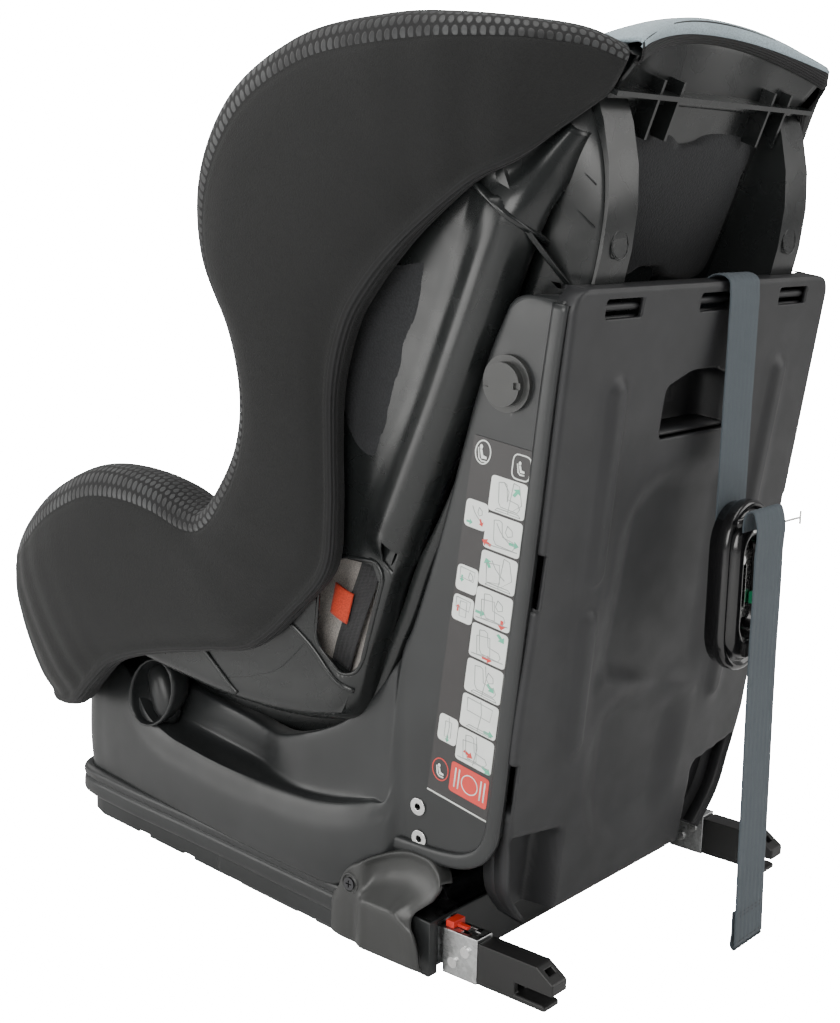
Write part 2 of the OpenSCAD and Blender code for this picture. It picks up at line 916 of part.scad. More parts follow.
module adjuster_strap() {
    color(webbing)
    union() {
        on_back()
            translate([-strap_w / 2, 6.5, -24])
                cube([strap_w, strap_t, 252]);
        on_back()
            translate([-strap_w / 2, -4, -24])
                cube([strap_w, 12, strap_t]);
        ring_plate(-strap_w / 2, strap_w / 2, 482, 482 + strap_t, -27.5, 7);
    }
}
module harness_adjuster() {
    color(plastic)
    difference() {
        translate([-25, -230, 183])
            cube([50, 26, 30]);
        translate([-10, -226, 200])
            cube([20, 18, 20]);
        translate([-21, -240, 191])
            cube([42, 50, 3]);
    }
}
module adjuster_button() {
    color(red)
    translate([-9.7, -225.7, 205])
        cube([19.4, 17.4, 10]);
}
module crotch_strap() {
    color(webbing)
    translate([-13, -97, 168])
        cube([26, strap_t, 95]);
}
module crotch_pad() {
    color(fabric)
    difference() {
        translate([-23, -103, 212])
            cube([46, 14, 48]);
        translate([-14.5, -98.5, 200])
            cube([29, 4.5, 80]);
    }
}
module buckle_body() {
    color(gloss)
    difference() {
        translate([-23, -106, 264])
            cube([46, 20, 60]);
        translate([-12.2, -110, 276])
            cube([24.4, 12, 22.4]);
        translate([-19, -99, 306])
            cube([38, 6, 20]);
    }
}
module buckle_button() {
    color(red)
    translate([-12, -107.5, 276.2])
        cube([24, 5, 22]);
}
module buckle_tongues() {
    color(steel)
    both_sides()
    difference() {
        translate([0.5, -97.5, 310])
            cube([18, 2.5, 36]);
        translate([5, -99, 334])
            cube([9, 6, 5]);
    }
}

base_tray();
base_shell();
rear_panel();
base_frame();
recline_rails();
recline_rack();
isofix_guides();
corner_covers();
cover_screws();
side_rivets();
pivot_caps();
instruction_labels();
tether_strap();
tether_adjuster();
tether_hook();
tether_gate();
tension_indicator();
tether_release();
tether_tail();
tag_pin();
isofix_arm_left();
isofix_jaw_left();
isofix_rivets_left();
isofix_hook_left();
isofix_release_left();
isofix_arm_right();
isofix_jaw_right();
isofix_rivets_right();
isofix_hook_right();
isofix_release_right();
seat_shell();
carriage_bolts();
recline_handle();
handle_pin();
recline_latch();
latch_spring();
seat_foam();
wing_foam_left();
wing_foam_right();
seat_cushion();
back_cushion();
head_cushion();
cover_left();
cover_right();
cover_front();
head_top_panel();
belt_liners();
shoulder_straps();
shoulder_pads();
lap_straps();
strap_tags();
splitter_plate();
adjuster_strap();
harness_adjuster();
adjuster_button();
crotch_strap();
crotch_pad();
buckle_body();
buckle_button();
buckle_tongues();
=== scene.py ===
"""Looks of the reclining child car seat: mouldings, covers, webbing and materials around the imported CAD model.

Frame: +X is the child's left, the seat faces -Y, +Z is up. Shapes are written in millimetres and built in metres.
"""
import json
import math

import bmesh
import bpy
import numpy as np
from mathutils import Matrix, Vector
from mathutils.bvhtree import BVHTree


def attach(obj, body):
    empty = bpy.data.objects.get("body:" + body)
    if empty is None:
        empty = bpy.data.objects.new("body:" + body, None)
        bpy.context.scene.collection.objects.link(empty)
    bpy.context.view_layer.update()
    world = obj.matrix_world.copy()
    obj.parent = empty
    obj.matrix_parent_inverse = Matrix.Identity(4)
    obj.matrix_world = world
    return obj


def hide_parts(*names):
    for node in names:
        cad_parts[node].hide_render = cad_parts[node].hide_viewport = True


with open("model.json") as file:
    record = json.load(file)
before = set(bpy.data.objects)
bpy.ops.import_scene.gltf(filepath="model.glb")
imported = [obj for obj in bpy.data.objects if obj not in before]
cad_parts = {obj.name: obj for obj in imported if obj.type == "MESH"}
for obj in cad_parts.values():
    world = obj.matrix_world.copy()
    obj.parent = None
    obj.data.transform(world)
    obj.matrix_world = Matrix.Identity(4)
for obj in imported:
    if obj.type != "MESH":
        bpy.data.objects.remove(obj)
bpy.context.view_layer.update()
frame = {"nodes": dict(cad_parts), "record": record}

MM = 0.001
NODES = frame["nodes"]
ACROSS = np.array([1.0, 0, 0])


# ---- Curves and meshes ----

def hermite(knots, values, at):
    """Values at the given places of a smooth curve through the values at the knots."""
    knots, values, at = (np.asarray(a, float) for a in (knots, values, at))
    step = np.diff(knots)[:, None]
    slope = np.diff(values, axis=0) / step
    tangent = np.concatenate([slope[:1], slope[-1:]])
    if len(knots) > 2:
        inner = (slope[:-1] * step[1:] + slope[1:] * step[:-1]) / (step[1:] + step[:-1])
        tangent = np.concatenate([slope[:1], inner, slope[-1:]])
    i = np.clip(np.searchsorted(knots, at, side="right") - 1, 0, len(step) - 1)
    h = step[i]
    t = ((at - knots[i]) / h[:, 0])[:, None]
    return ((2 * t ** 3 - 3 * t ** 2 + 1) * values[i] + (t ** 3 - 2 * t ** 2 + t) * h * tangent[i]
            + (3 * t ** 2 - 2 * t ** 3) * values[i + 1] + (t ** 3 - t ** 2) * h * tangent[i + 1])


def lengths(points):
    """Distance along a polyline at each of its points."""
    steps = np.linalg.norm(np.diff(np.asarray(points, float), axis=0), axis=1)
    return np.concatenate([[0], np.cumsum(np.maximum(steps, 1e-6))])


def curve(points, count):
    """A smooth curve through the points, as count points evenly spaced along it."""
    knots = lengths(points)
    dense = hermite(knots, points, np.linspace(0, knots[-1], count * 4))
    along = lengths(dense)
    even = np.linspace(0, along[-1], count)
    return np.stack([np.interp(even, along, dense[:, k]) for k in range(dense.shape[1])], axis=1)


def resampled(knots, rows, at):
    """Rows of points at new places along the knots of a lofted surface."""
    return hermite(knots, rows.reshape(len(rows), -1), at).reshape(len(at), -1, 3)


def refined(rows, at):
    """Each row of points at new places along it, in point numbers; at may be a count."""
    marks = np.arange(rows.shape[1])
    at = np.linspace(0, marks[-1], at) if np.ndim(at) == 0 else at
    return np.array([hermite(marks, row, at) for row in rows])


def profile(pairs, at):
    """A smooth function through (place, value) pairs, read at the given places."""
    knots = [p[0] for p in pairs]
    values = [[p[1]] for p in pairs]
    return hermite(knots, values, np.clip(at, knots[0], knots[-1]))[:, 0]


def smoothstep(a, b, x):
    t = np.clip((x - a) / (b - a), 0, 1)
    return t * t * (3 - 2 * t)


def bump_at(x, centre, width):
    """A bell of height 1 at centre."""
    return np.exp(-((x - centre) / width) ** 2)


def mesh_object(name, vertices, faces, smooth=True):
    mesh = bpy.data.meshes.new(name)
    mesh.from_pydata([tuple(v) for v in np.asarray(vertices, float) * MM], [], faces)
    mesh.validate()
    if smooth:
        mesh.shade_smooth()
    made = bpy.data.objects.new(name, mesh)
    bpy.context.scene.collection.objects.link(made)
    return made


def loft(name, rows, close_across=False, caps=False):
    """A sheet or tube through rows of points in millimetres, shape (rows, points, 3), with a UV map in metres."""
    rows = np.asarray(rows, float)
    n, m = rows.shape[:2]
    wide = m if close_across else m - 1
    index = lambda i, j: i * m + j % m
    around = lambda i, j: ((i, j), (i + 1, j), (i + 1, j + 1), (i, j + 1))
    faces = [tuple(index(*k) for k in around(i, j)) for i in range(n - 1) for j in range(wide)]
    walls = len(faces)
    if caps:
        faces.append(tuple(index(0, j) for j in range(m)))
        faces.append(tuple(index(n - 1, j) for j in reversed(range(m))))
    made = mesh_object(name, rows.reshape(-1, 3), faces)
    along = lengths(rows[:, m // 2]) * MM
    across = lengths(np.append(rows, rows[:, :1], axis=1)[n // 2]) * MM
    mesh, uv = made.data, made.data.uv_layers.new(name="UVMap")
    for poly in mesh.polygons[:walls]:
        corner = {index(*k): k for k in around(*divmod(poly.index, wide))}
        for loop in poly.loop_indices:
            a, b = corner[mesh.loops[loop].vertex_index]
            uv.data[loop].uv = (along[a], across[b])
    return made


def frames_along(path, up):
    """Tangent, side and normal unit vectors along a path; up is a rough normal, one or one for each point."""
    path = np.asarray(path, float)
    tangent = np.gradient(path, axis=0)
    tangent /= np.linalg.norm(tangent, axis=1)[:, None]
    up = np.broadcast_to(np.asarray(up, float), path.shape)
    side = np.cross(tangent, up)
    side /= np.linalg.norm(side, axis=1)[:, None]
    return tangent, side, np.cross(side, tangent)


def sweep(name, path, section, up):
    """A closed bar: a section of (side, normal) offsets carried along a path."""
    _, side, normal = frames_along(path, up)
    section = np.asarray(section, float)
    rows = (np.asarray(path, float)[:, None] + side[:, None] * section[None, :, :1]
            + normal[:, None] * section[None, :, 1:])
    return fix_normals(loft(name, rows, close_across=True, caps=True))


def sideways(line):
    """Unit vectors to the right of a line in a plane."""
    travel = np.gradient(np.asarray(line, float), axis=0)
    return np.stack([travel[:, 1], -travel[:, 0]], axis=1) / np.linalg.norm(travel, axis=1)[:, None]


def circle(radius, count=10):
    turn = np.arange(count) * 2 * math.pi / count
    return np.stack([radius * np.cos(turn), -radius * np.sin(turn)], axis=1)


def ring_points(cx, cy, rx, ry, count=28):
    """An ellipse in a plane, whose last point repeats the first."""
    turn = np.linspace(0, 2 * math.pi, count + 1)
    return np.stack([cx + rx * np.cos(turn), cy + ry * np.sin(turn)], axis=1)


def tube(name, path, radius, up=(0, 0, 1), count=10):
    return sweep(name, path, circle(radius, count), up)


def strap_section(width, thick, ribs, rib_depth):
    """Section of webbing: flat, with rolled edges and lengthwise ribs."""
    half = width / 2
    x = np.linspace(-half + thick / 2, half - thick / 2, ribs * 4 + 1)
    rib = rib_depth * (0.5 - 0.5 * np.cos(2 * math.pi * ribs * (x + half) / width))
    top = np.stack([x, thick / 2 - rib_depth + rib], axis=1)
    turn = np.linspace(math.pi / 2, -math.pi / 2, 5)[1:-1]
    right = np.stack([half - thick / 2 + thick / 2 * np.cos(turn), thick / 2 * np.sin(turn)], axis=1)
    return np.concatenate([top, right, (top * [1, -1])[::-1], (right * [-1, -1])])


def strap_facing(path):
    """Rough outward directions of a strap that bends about the X axis."""
    return np.cross(ACROSS, np.gradient(path, axis=0))


def strap(name, path, width, up=None, thick=1.5, ribs=6, rib_depth=0.3):
    return sweep(name, path, strap_section(width, thick, ribs, rib_depth), strap_facing(path) if up is None else up)


def stitches(name, path, up, pitch=3.0, length=2.0, radius=0.35):
    """A row of raised thread stitches along a path."""
    path = np.asarray(path, float)
    along = lengths(path)
    centres = np.arange(pitch / 2, along[-1], pitch)
    sample = lambda values: np.stack([np.interp(centres, along, values[:, k]) for k in range(3)], axis=1)
    at = sample(path)
    tangent, side, normal = frames_along(at, up if np.ndim(up) == 1 else sample(np.asarray(up, float)))
    ring, stops = 6, ((-0.5, 0.35), (-0.32, 1.0), (0.32, 1.0), (0.5, 0.35))
    turns = [(math.cos(turn), math.sin(turn)) for turn in np.arange(ring) * 2 * math.pi / ring]
    vertices, faces = [], []
    for p, t, s, n in zip(at, tangent, side, normal):
        base, end = len(vertices), len(vertices) + (len(stops) - 1) * ring
        vertices += [p + t * length * stop + radius * fat * (s * c + n * d) for stop, fat in stops for c, d in turns]
        for a in range(base, end, ring):
            faces += [(a + k, a + (k + 1) % ring, a + ring + (k + 1) % ring, a + ring + k) for k in range(ring)]
        faces += [tuple(base + k for k in reversed(range(ring))), tuple(end + k for k in range(ring))]
    return mesh_object(name, vertices, faces)


def seam_thread(path, up):
    """Heavy pale stitches that hold the padding's channels."""
    return wear(stitches("seam", path, up, pitch=4, length=2.8, radius=0.45), "pale_thread")


def mirrored(points):
    return np.asarray(points, float) * [-1, 1, 1]


def both_sides(build):
    """Runs build(name suffix, map of points) for the left side and, mirrored, for the right side."""
    return [build("left", lambda p: np.asarray(p, float)), build("right", mirrored)]


def modifier(piece, kind, **settings):
    made = piece.modifiers.new(kind.title(), kind)
    for key, value in settings.items():
        setattr(made, key, value)
    return made


def apply_modifiers(piece):
    graph = bpy.context.evaluated_depsgraph_get()
    done = bpy.data.meshes.new_from_object(piece.evaluated_get(graph))
    piece.modifiers.clear()
    piece.data = done
    return piece


def fix_normals(piece):
    """Makes the faces of a piece agree on their outside."""
    work = bmesh.new()
    work.from_mesh(piece.data)
    bmesh.ops.recalc_face_normals(work, faces=work.faces)
    work.to_mesh(piece.data)
    work.free()
    return piece


def thicken(piece, thick):
    modifier(piece, "SOLIDIFY", thickness=thick * MM, offset=-1.0, use_even_offset=False, use_rim=True)
    return apply_modifiers(piece)


def sheet(name, rows, thick, settled=False, close_across=False):
    """A sheet of a given thickness through rows of points; settled ones have their outside found beforehand."""
    skin = loft(name, rows, close_across)
    return fix_normals(thicken(fix_normals(skin) if settled else skin, thick))


def cut(piece, *cutters):
    """Cuts the cutters out of a closed piece."""
    for cutter in cutters:
        fix_normals(cutter)
        modifier(piece, "BOOLEAN", operation="DIFFERENCE", object=cutter, solver="EXACT")
    apply_modifiers(piece)
    for cutter in cutters:
        bpy.data.objects.remove(cutter)
    return piece


def join(name, *parts):
    """Joins pieces into one, keeping each one's materials."""
    graph = bpy.context.evaluated_depsgraph_get()
    made = bpy.data.meshes.new(name)
    work = bmesh.new()
    materials = []
    for part in parts:
        mesh = bpy.data.meshes.new_from_object(part.evaluated_get(graph))
        mesh.transform(part.matrix_world)
        start = len(materials)
        materials.extend(mesh.materials)
        for poly in mesh.polygons:
            poly.material_index += start
        work.from_mesh(mesh)
        bpy.data.meshes.remove(mesh)
    work.to_mesh(made)
    work.free()
    for material in materials:
        made.materials.append(material)
    for part in parts:
        bpy.data.objects.remove(part)
    piece = bpy.data.objects.new(name, made)
    bpy.context.scene.collection.objects.link(piece)
    return piece


def faceted(piece):
    """Shades a piece flat, face by face."""
    for poly in piece.data.polygons:
        poly.use_smooth = False
    return piece


def prism(name, outline, axis_from, axis_to, axis=0):
    """A closed solid over an outline of the two other axes, between two places on an axis, in millimetres."""
    outline = np.asarray(outline, float)
    rows = [np.insert(outline, axis, value, axis=1) for value in (axis_from, axis_to)]
    made = loft(name, rows, close_across=True, caps=True)
    return fix_normals(faceted(made))


def rounded(points, radius, steps=5):
    """An outline with its corners rounded."""
    points = [np.asarray(p, float) for p in points]
    out = []
    for i, p in enumerate(points):
        a, b = points[i - 1] - p, points[(i + 1) % len(points)] - p
        reach = min(radius, 0.45 * np.linalg.norm(a), 0.45 * np.linalg.norm(b))
        start, end = p + a / np.linalg.norm(a) * reach, p + b / np.linalg.norm(b) * reach
        for k in range(steps + 1):
            t = k / steps
            out.append((1 - t) ** 2 * start + 2 * t * (1 - t) * p + t ** 2 * end)
    return np.array(out)


def rectangle(width, height, radius, centre=(0, 0)):
    w, h = width / 2, height / 2
    corners = [(-w, -h), (w, -h), (w, h), (-w, h)]
    return rounded([(x + centre[0], y + centre[1]) for x, y in corners], radius)


# ---- Materials ----

class Shader:
    """A small builder for node materials, in object coordinates (metres)."""

    def __init__(self, name, colour, roughness, metallic=0.0, sheen=0.0, coat=0.0):
        self.material = bpy.data.materials.new(name)
        self.material.use_nodes = True
        self.tree = self.material.node_tree
        self.surface = self.tree.nodes["Principled BSDF"]
        for key, value in (("Base Color", (*colour, 1)), ("Roughness", roughness), ("Metallic", metallic),
                           ("Sheen Weight", sheen), ("Sheen Roughness", 0.4), ("Coat Weight", coat)):
            self.surface.inputs[key].default_value = value
        self.material.diffuse_color = (*colour, 1)
        place = self.node("ShaderNodeTexCoord")
        self.place, self.uv = place.outputs["Object"], place.outputs["UV"]
        self.normal = None

    def node(self, kind, inputs=(), **settings):
        made = self.tree.nodes.new(kind)
        for key, value in settings.items():
            setattr(made, key, value)
        for key, value in dict(inputs).items():
            if isinstance(value, bpy.types.NodeSocket):
                self.tree.links.new(value, made.inputs[key])
            else:
                made.inputs[key].default_value = value
        return made

    def math(self, operation, *values):
        return self.node("ShaderNodeMath", dict(enumerate(values)), operation=operation).outputs[0]

    def noise(self, scale, detail=2.0, rough=0.5, at=None):
        inputs = {"Vector": at or self.place, "Scale": scale, "Detail": detail, "Roughness": rough}
        return self.node("ShaderNodeTexNoise", inputs).outputs["Fac"]

    def cells(self, scale):
        return self.node("ShaderNodeTexVoronoi", {"Vector": self.place, "Scale": scale}).outputs["Distance"]

    def span(self, value, low, high, to_low=0.0, to_high=1.0):
        inputs = {"Value": value, "From Min": low, "From Max": high, "To Min": to_low, "To Max": to_high}
        return self.node("ShaderNodeMapRange", inputs).outputs[0]

    def mix(self, share, a, b):
        a, b = ((*c, 1) if isinstance(c, tuple) and len(c) == 3 else c for c in (a, b))
        return self.node("ShaderNodeMix", {0: share, 6: a, 7: b}, data_type="RGBA").outputs[2]

    def set(self, key, value):
        self.tree.links.new(value, self.surface.inputs[key])

    def bump(self, height, depth_mm, strength=1.0):
        inputs = {"Height": height, "Distance": depth_mm * MM, "Strength": strength}
        if self.normal is not None:
            inputs["Normal"] = self.normal
        self.normal = self.node("ShaderNodeBump", inputs).outputs["Normal"]
        self.set("Normal", self.normal)

    def worn_edges(self, radius_mm):
        """1 along sharp edges, 0 on flat faces."""
        soft = self.node("ShaderNodeBevel", {"Radius": radius_mm * MM}, samples=6).outputs[0]
        flat = self.node("ShaderNodeNewGeometry").outputs["Normal"]
        aligned = self.node("ShaderNodeVectorMath", {0: soft, 1: flat}, operation="DOT_PRODUCT").outputs["Value"]
        return self.span(aligned, 0.99, 0.86)


# Repeats of the patterns that lie on UV maps
HEXAGON_MM, RIB_MM, TWILL_MM = 5.2, 1.6, 1.1


def shade(colour, factor):
    return tuple(min(1.0, c * factor) for c in colour)


def moulded(name, colour, roughness, grain_depth=0.05, wear=0.35, coat=0.0, dust=0.25):
    """Moulded plastic: spark-eroded grain, uneven gloss, paler worn edges and a few specks of dust."""
    s = Shader(name, colour, roughness, coat=coat)
    cloudy = s.noise(16, 2, 0.5)
    tone = s.mix(s.span(cloudy, 0.35, 0.65), shade(colour, 0.86), shade(colour, 1.16))
    worn = s.math("MULTIPLY", s.worn_edges(0.8), wear * 0.6)
    tone = s.mix(worn, tone, shade(colour, 3.2))
    specks = s.math("LESS_THAN", s.cells(140), 0.03)
    lively = s.math("GREATER_THAN", s.noise(9, 1), 0.6)
    tone = s.mix(s.math("MULTIPLY", s.math("MULTIPLY", specks, lively), dust), tone, (0.5, 0.5, 0.48))
    s.set("Base Color", tone)
    s.set("Roughness", s.span(s.noise(45, 2, 0.5), 0.3, 0.7, roughness - 0.03, roughness + 0.05))
    if grain_depth:
        s.bump(s.noise(1500, 3, 0.7), grain_depth)
    s.bump(s.noise(9, 1), 0.10, 0.3)
    return s.material


def metal(name, colour, roughness, spangle=0.0):
    """Metal: fine scratches, stains, and crystals where it is galvanised."""
    s = Shader(name, colour, roughness, metallic=1.0)
    stain = s.noise(35, 4, 0.6)
    tone = s.mix(s.span(stain, 0.3, 0.7), shade(colour, 0.78), shade(colour, 1.12))
    if spangle:
        crystal = s.node("ShaderNodeTexVoronoi", {"Vector": s.place, "Scale": 420}).outputs["Color"]
        tone = s.mix(spangle, tone, s.mix(s.node("ShaderNodeSeparateColor", {0: crystal}).outputs[0],
                                          shade(colour, 0.55), shade(colour, 1.3)))
    tone = s.mix(s.math("MULTIPLY", s.worn_edges(0.8), 0.4), tone, shade(colour, 1.5))
    s.set("Base Color", tone)
    stretched = s.node("ShaderNodeMapping", {"Vector": s.place, "Scale": (1, 1, 14)}).outputs[0]
    lines = s.noise(300, 2, 0.6, at=stretched)
    s.set("Roughness", s.span(lines, 0.3, 0.7, roughness - 0.08, roughness + 0.14))
    s.bump(lines, 0.006)
    return s.material


def knit(name, colour, pitch_mm=0.9, sheen=0.25, fluff=0.5, depth=0.22):
    """Jersey fabric: rows of small loops, a fuzzy sheen, faded patches and specks of fluff."""
    s = Shader(name, colour, 0.88, sheen=sheen)
    loops = s.cells(1000 / pitch_mm)
    fuzz = s.noise(900, 3, 0.8)
    faded = s.span(s.noise(11, 3, 0.55), 0.3, 0.7)
    tone = s.mix(faded, shade(colour, 0.82), shade(colour, 1.22))
    tone = s.mix(s.span(loops, 0.25, 0.75, 0.0, 0.55), tone, shade(colour, 0.4))
    lint = s.math("LESS_THAN", s.cells(90), 0.022)
    here = s.math("GREATER_THAN", s.noise(7, 1), 0.52)
    tone = s.mix(s.math("MULTIPLY", s.math("MULTIPLY", lint, here), fluff), tone, (0.42, 0.42, 0.40))
    s.set("Base Color", tone)
    s.bump(s.math("SUBTRACT", s.math("MULTIPLY", fuzz, 0.6), loops), depth)
    s.bump(s.noise(40, 3, 0.6), 0.5, 0.35)
    return s.material


def hexagon_knit(name, colour, dot_colour):
    """Fabric with a honeycomb of raised, slightly shiny hexagons, laid out on the UV map."""
    s = Shader(name, colour, 0.8, sheen=0.06)
    ratio = math.sqrt(3)
    grid = s.node("ShaderNodeVectorMath", {0: s.uv, 1: (1000 / HEXAGON_MM,) * 3}, operation="MULTIPLY").outputs[0]
    spans = []
    for shift in (0.0, 0.5):
        spot = grid
        for operation, by in (("ADD", (shift, shift * ratio, 0)), ("MODULO", (1, ratio, 1)),
                              ("SUBTRACT", (0.5, ratio / 2, 0))):
            spot = s.node("ShaderNodeVectorMath", {0: spot, 1: by}, operation=operation).outputs[0]
        spans.append(s.node("ShaderNodeVectorMath", {0: spot}, operation="LENGTH").outputs["Value"])
    dot = s.span(s.math("MINIMUM", *spans), 0.40, 0.30)
    patch = s.span(s.noise(26, 2, 0.5), 0.42, 0.58)
    s.set("Base Color", s.mix(s.math("MULTIPLY", dot, s.math("MULTIPLY_ADD", patch, 0.75, 0.25)),
                              s.mix(s.span(s.noise(12, 3), 0.3, 0.7), shade(colour, 0.8), shade(colour, 1.2)),
                              dot_colour))
    s.set("Roughness", s.span(dot, 0, 1, 0.85, 0.5))
    s.bump(dot, 0.55)
    s.bump(s.noise(900, 3, 0.8), 0.12)
    return s.material


def ribbed_knit(name, colour):
    """Elastic binding: fine ribs along its length, laid out on the UV map."""
    s = Shader(name, colour, 0.85, sheen=0.06)
    across = s.node("ShaderNodeSeparateXYZ", {0: s.uv}).outputs[1]
    rib = s.math("SINE", s.math("MULTIPLY", across, 2 * math.pi * 1000 / RIB_MM))
    s.set("Base Color", s.mix(s.span(rib, -1, 1), shade(colour, 0.55), shade(colour, 1.5)))
    s.bump(rib, 0.25)
    s.bump(s.noise(900, 2), 0.15)
    return s.material


def webbing(name, colour, thread):
    """Woven webbing: a twill of warp and weft on the UV map, with paler worn ridges."""
    s = Shader(name, colour, 0.62, sheen=0.12)
    parts = s.node("ShaderNodeSeparateXYZ", {0: s.uv})
    along = s.math("MULTIPLY", parts.outputs[0], 2 * math.pi * 1000 / TWILL_MM)
    across = s.math("MULTIPLY", parts.outputs[1], 2 * math.pi * 1000 / (TWILL_MM * 0.9))
    twill = s.math("SINE", s.math("ADD", along, across))
    weft = s.math("SINE", s.math("SUBTRACT", along, s.math("MULTIPLY", across, 0.5)))
    weave = s.math("MAXIMUM", twill, weft)
    tone = s.mix(s.span(weave, -0.6, 1), shade(colour, 0.62), thread)
    tone = s.mix(s.span(s.noise(16, 3), 0.3, 0.7, 0, 0.35), tone, shade(colour, 0.8))
    s.set("Base Color", tone)
    s.bump(weave, 0.16)
    s.bump(s.noise(700, 2), 0.05)
    return s.material


def speckled(name, colour, dark):
    """Shiny speckled lining fabric."""
    s = Shader(name, colour, 0.5, sheen=0.4)
    grains = s.noise(1300, 3, 0.75)
    tone = s.mix(s.span(grains, 0.38, 0.62), dark, colour)
    s.set("Base Color", s.mix(s.span(s.noise(20, 2), 0.35, 0.7, 0, 0.5), tone, dark))
    s.bump(grains, 0.12)
    return s.material


def foam(name, colour):
    s = Shader(name, colour, 0.95)
    pores = s.cells(650)
    s.set("Base Color", s.mix(s.span(pores, 0, 0.5), shade(colour, 0.75), colour))
    s.bump(pores, 0.4)
    return s.material


def printed(name, colour):
    """Ink on a laminated label."""
    s = Shader(name, colour, 0.38, coat=0.25)
    s.set("Base Color", s.mix(s.span(s.noise(70, 3), 0.3, 0.7), shade(colour, 0.93), shade(colour, 1.05)))
    s.bump(s.noise(160, 2), 0.04)
    return s.material


BLACK = (0.006, 0.006, 0.0065)
GREY = (0.0185, 0.020, 0.0205)
LINT_FREE = dict(pitch_mm=0.4, fluff=0.0, depth=0.05)
M = {}


def add(make, name, *values, **options):
    """Keeps a material under its name."""
    M[name] = make(name, *values, **options)


add(moulded, "base_plastic", GREY, 0.36, grain_depth=0.03)
add(moulded, "panel_plastic", (0.017, 0.0175, 0.019), 0.50, grain_depth=0.06)
add(moulded, "shell_plastic", (0.0105, 0.0118, 0.0118), 0.27, grain_depth=0.02, dust=0.1)
add(moulded, "slide_plastic", (0.05, 0.05, 0.05), 0.45)
add(moulded, "cap_plastic", (0.036, 0.037, 0.036), 0.36, grain_depth=0.02)
add(moulded, "gloss_black", BLACK, 0.20, grain_depth=0.0, coat=0.35)
add(moulded, "jaw_black", (0.010, 0.010, 0.010), 0.42, grain_depth=0.03, wear=0.6)
add(moulded, "red_plastic", (0.62, 0.035, 0.022), 0.34, wear=0.05)
add(moulded, "green_plastic", (0.02, 0.34, 0.15), 0.34, wear=0.05)
add(moulded, "white_plastic", (0.78, 0.78, 0.76), 0.42, wear=0.0, dust=0.0)
add(metal, "steel", (0.46, 0.47, 0.48), 0.34)
add(metal, "zinc_steel", (0.56, 0.57, 0.57), 0.30, spangle=0.35)
add(metal, "dark_steel", (0.09, 0.09, 0.095), 0.42)
add(metal, "bright_metal", (0.80, 0.80, 0.79), 0.16)
add(printed, "label", (0.026, 0.024, 0.024))
add(printed, "label_white", (0.80, 0.83, 0.80))
add(printed, "label_grey", (0.36, 0.39, 0.38))
add(printed, "label_green", (0.10, 0.50, 0.32))
add(printed, "label_red", (0.68, 0.045, 0.035))
add(foam, "foam", (0.72, 0.70, 0.62))
add(knit, "cover_fabric", (0.0066, 0.0070, 0.0070), sheen=0.06, fluff=0.35)
add(hexagon_knit, "insert_fabric", (0.008, 0.008, 0.0085), (0.040, 0.042, 0.043))
add(ribbed_knit, "binding", (0.009, 0.009, 0.0095))
add(knit, "light_fabric", (0.42, 0.52, 0.57), fluff=0.0, sheen=0.2, depth=0.12)
add(speckled, "liner_fabric", (0.66, 0.62, 0.57), (0.26, 0.24, 0.23))
add(knit, "pad_fabric", (0.016, 0.017, 0.019), pitch_mm=1.4, sheen=0.1)
add(knit, "red_fabric", (0.66, 0.060, 0.022), fluff=0.0, sheen=0.1)
add(webbing, "harness_webbing", (0.009, 0.009, 0.010), (0.022, 0.022, 0.024))
add(webbing, "tether_webbing", (0.046, 0.066, 0.080), (0.080, 0.105, 0.125))
add(knit, "thread", (0.05, 0.05, 0.052), **LINT_FREE)
add(knit, "pale_thread", (0.30, 0.31, 0.31), **LINT_FREE)


def wear(piece, *materials):
    """Gives a piece the named materials as its slots."""
    piece.data.materials.clear()
    for name in materials:
        piece.data.materials.append(M[name])
    return piece


def finish_piece(piece, body, material=None, replaces=()):
    """Gives a piece its material, its body and the CAD nodes that it stands for."""
    if material:
        wear(piece, material)
    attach(piece, body)
    if replaces:
        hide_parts(*replaces)
    return piece


# ---- CAD nodes that stay: material and softened edges ----

SLOT_OF = {part["node"]: part["material_slot"] for part in frame["record"]["subparts"]}
EDGE = {"corner_covers": 2.5, "isofix_jaw_left": 1.2, "isofix_jaw_right": 1.2, "isofix_rivets_left": 1.2,
        "isofix_rivets_right": 1.2, "pivot_caps": 1.0, "side_rivets": 0.5, "base_tray": 1.2, "seat_shell": 1.0,
        "buckle_body": 4.0, "buckle_button": 1.5, "recline_handle": 2.0, "harness_adjuster": 4.0,
        "adjuster_button": 1.5, "isofix_arm_left": 0.8, "isofix_arm_right": 0.8}
DEFAULT_EDGE = 0.4
for node, piece in NODES.items():
    wear(piece, SLOT_OF[node])
    modifier(piece, "WELD", merge_threshold=1e-6)
    modifier(piece, "BEVEL", width=EDGE.get(node, DEFAULT_EDGE) * MM, segments=3, limit_method="ANGLE",
             angle_limit=math.radians(32))
    modifier(piece, "WEIGHTED_NORMAL", keep_sharp=False)


# ---- Cover: one padded fabric shell that wraps the wings, the thigh sides and the front edge ----

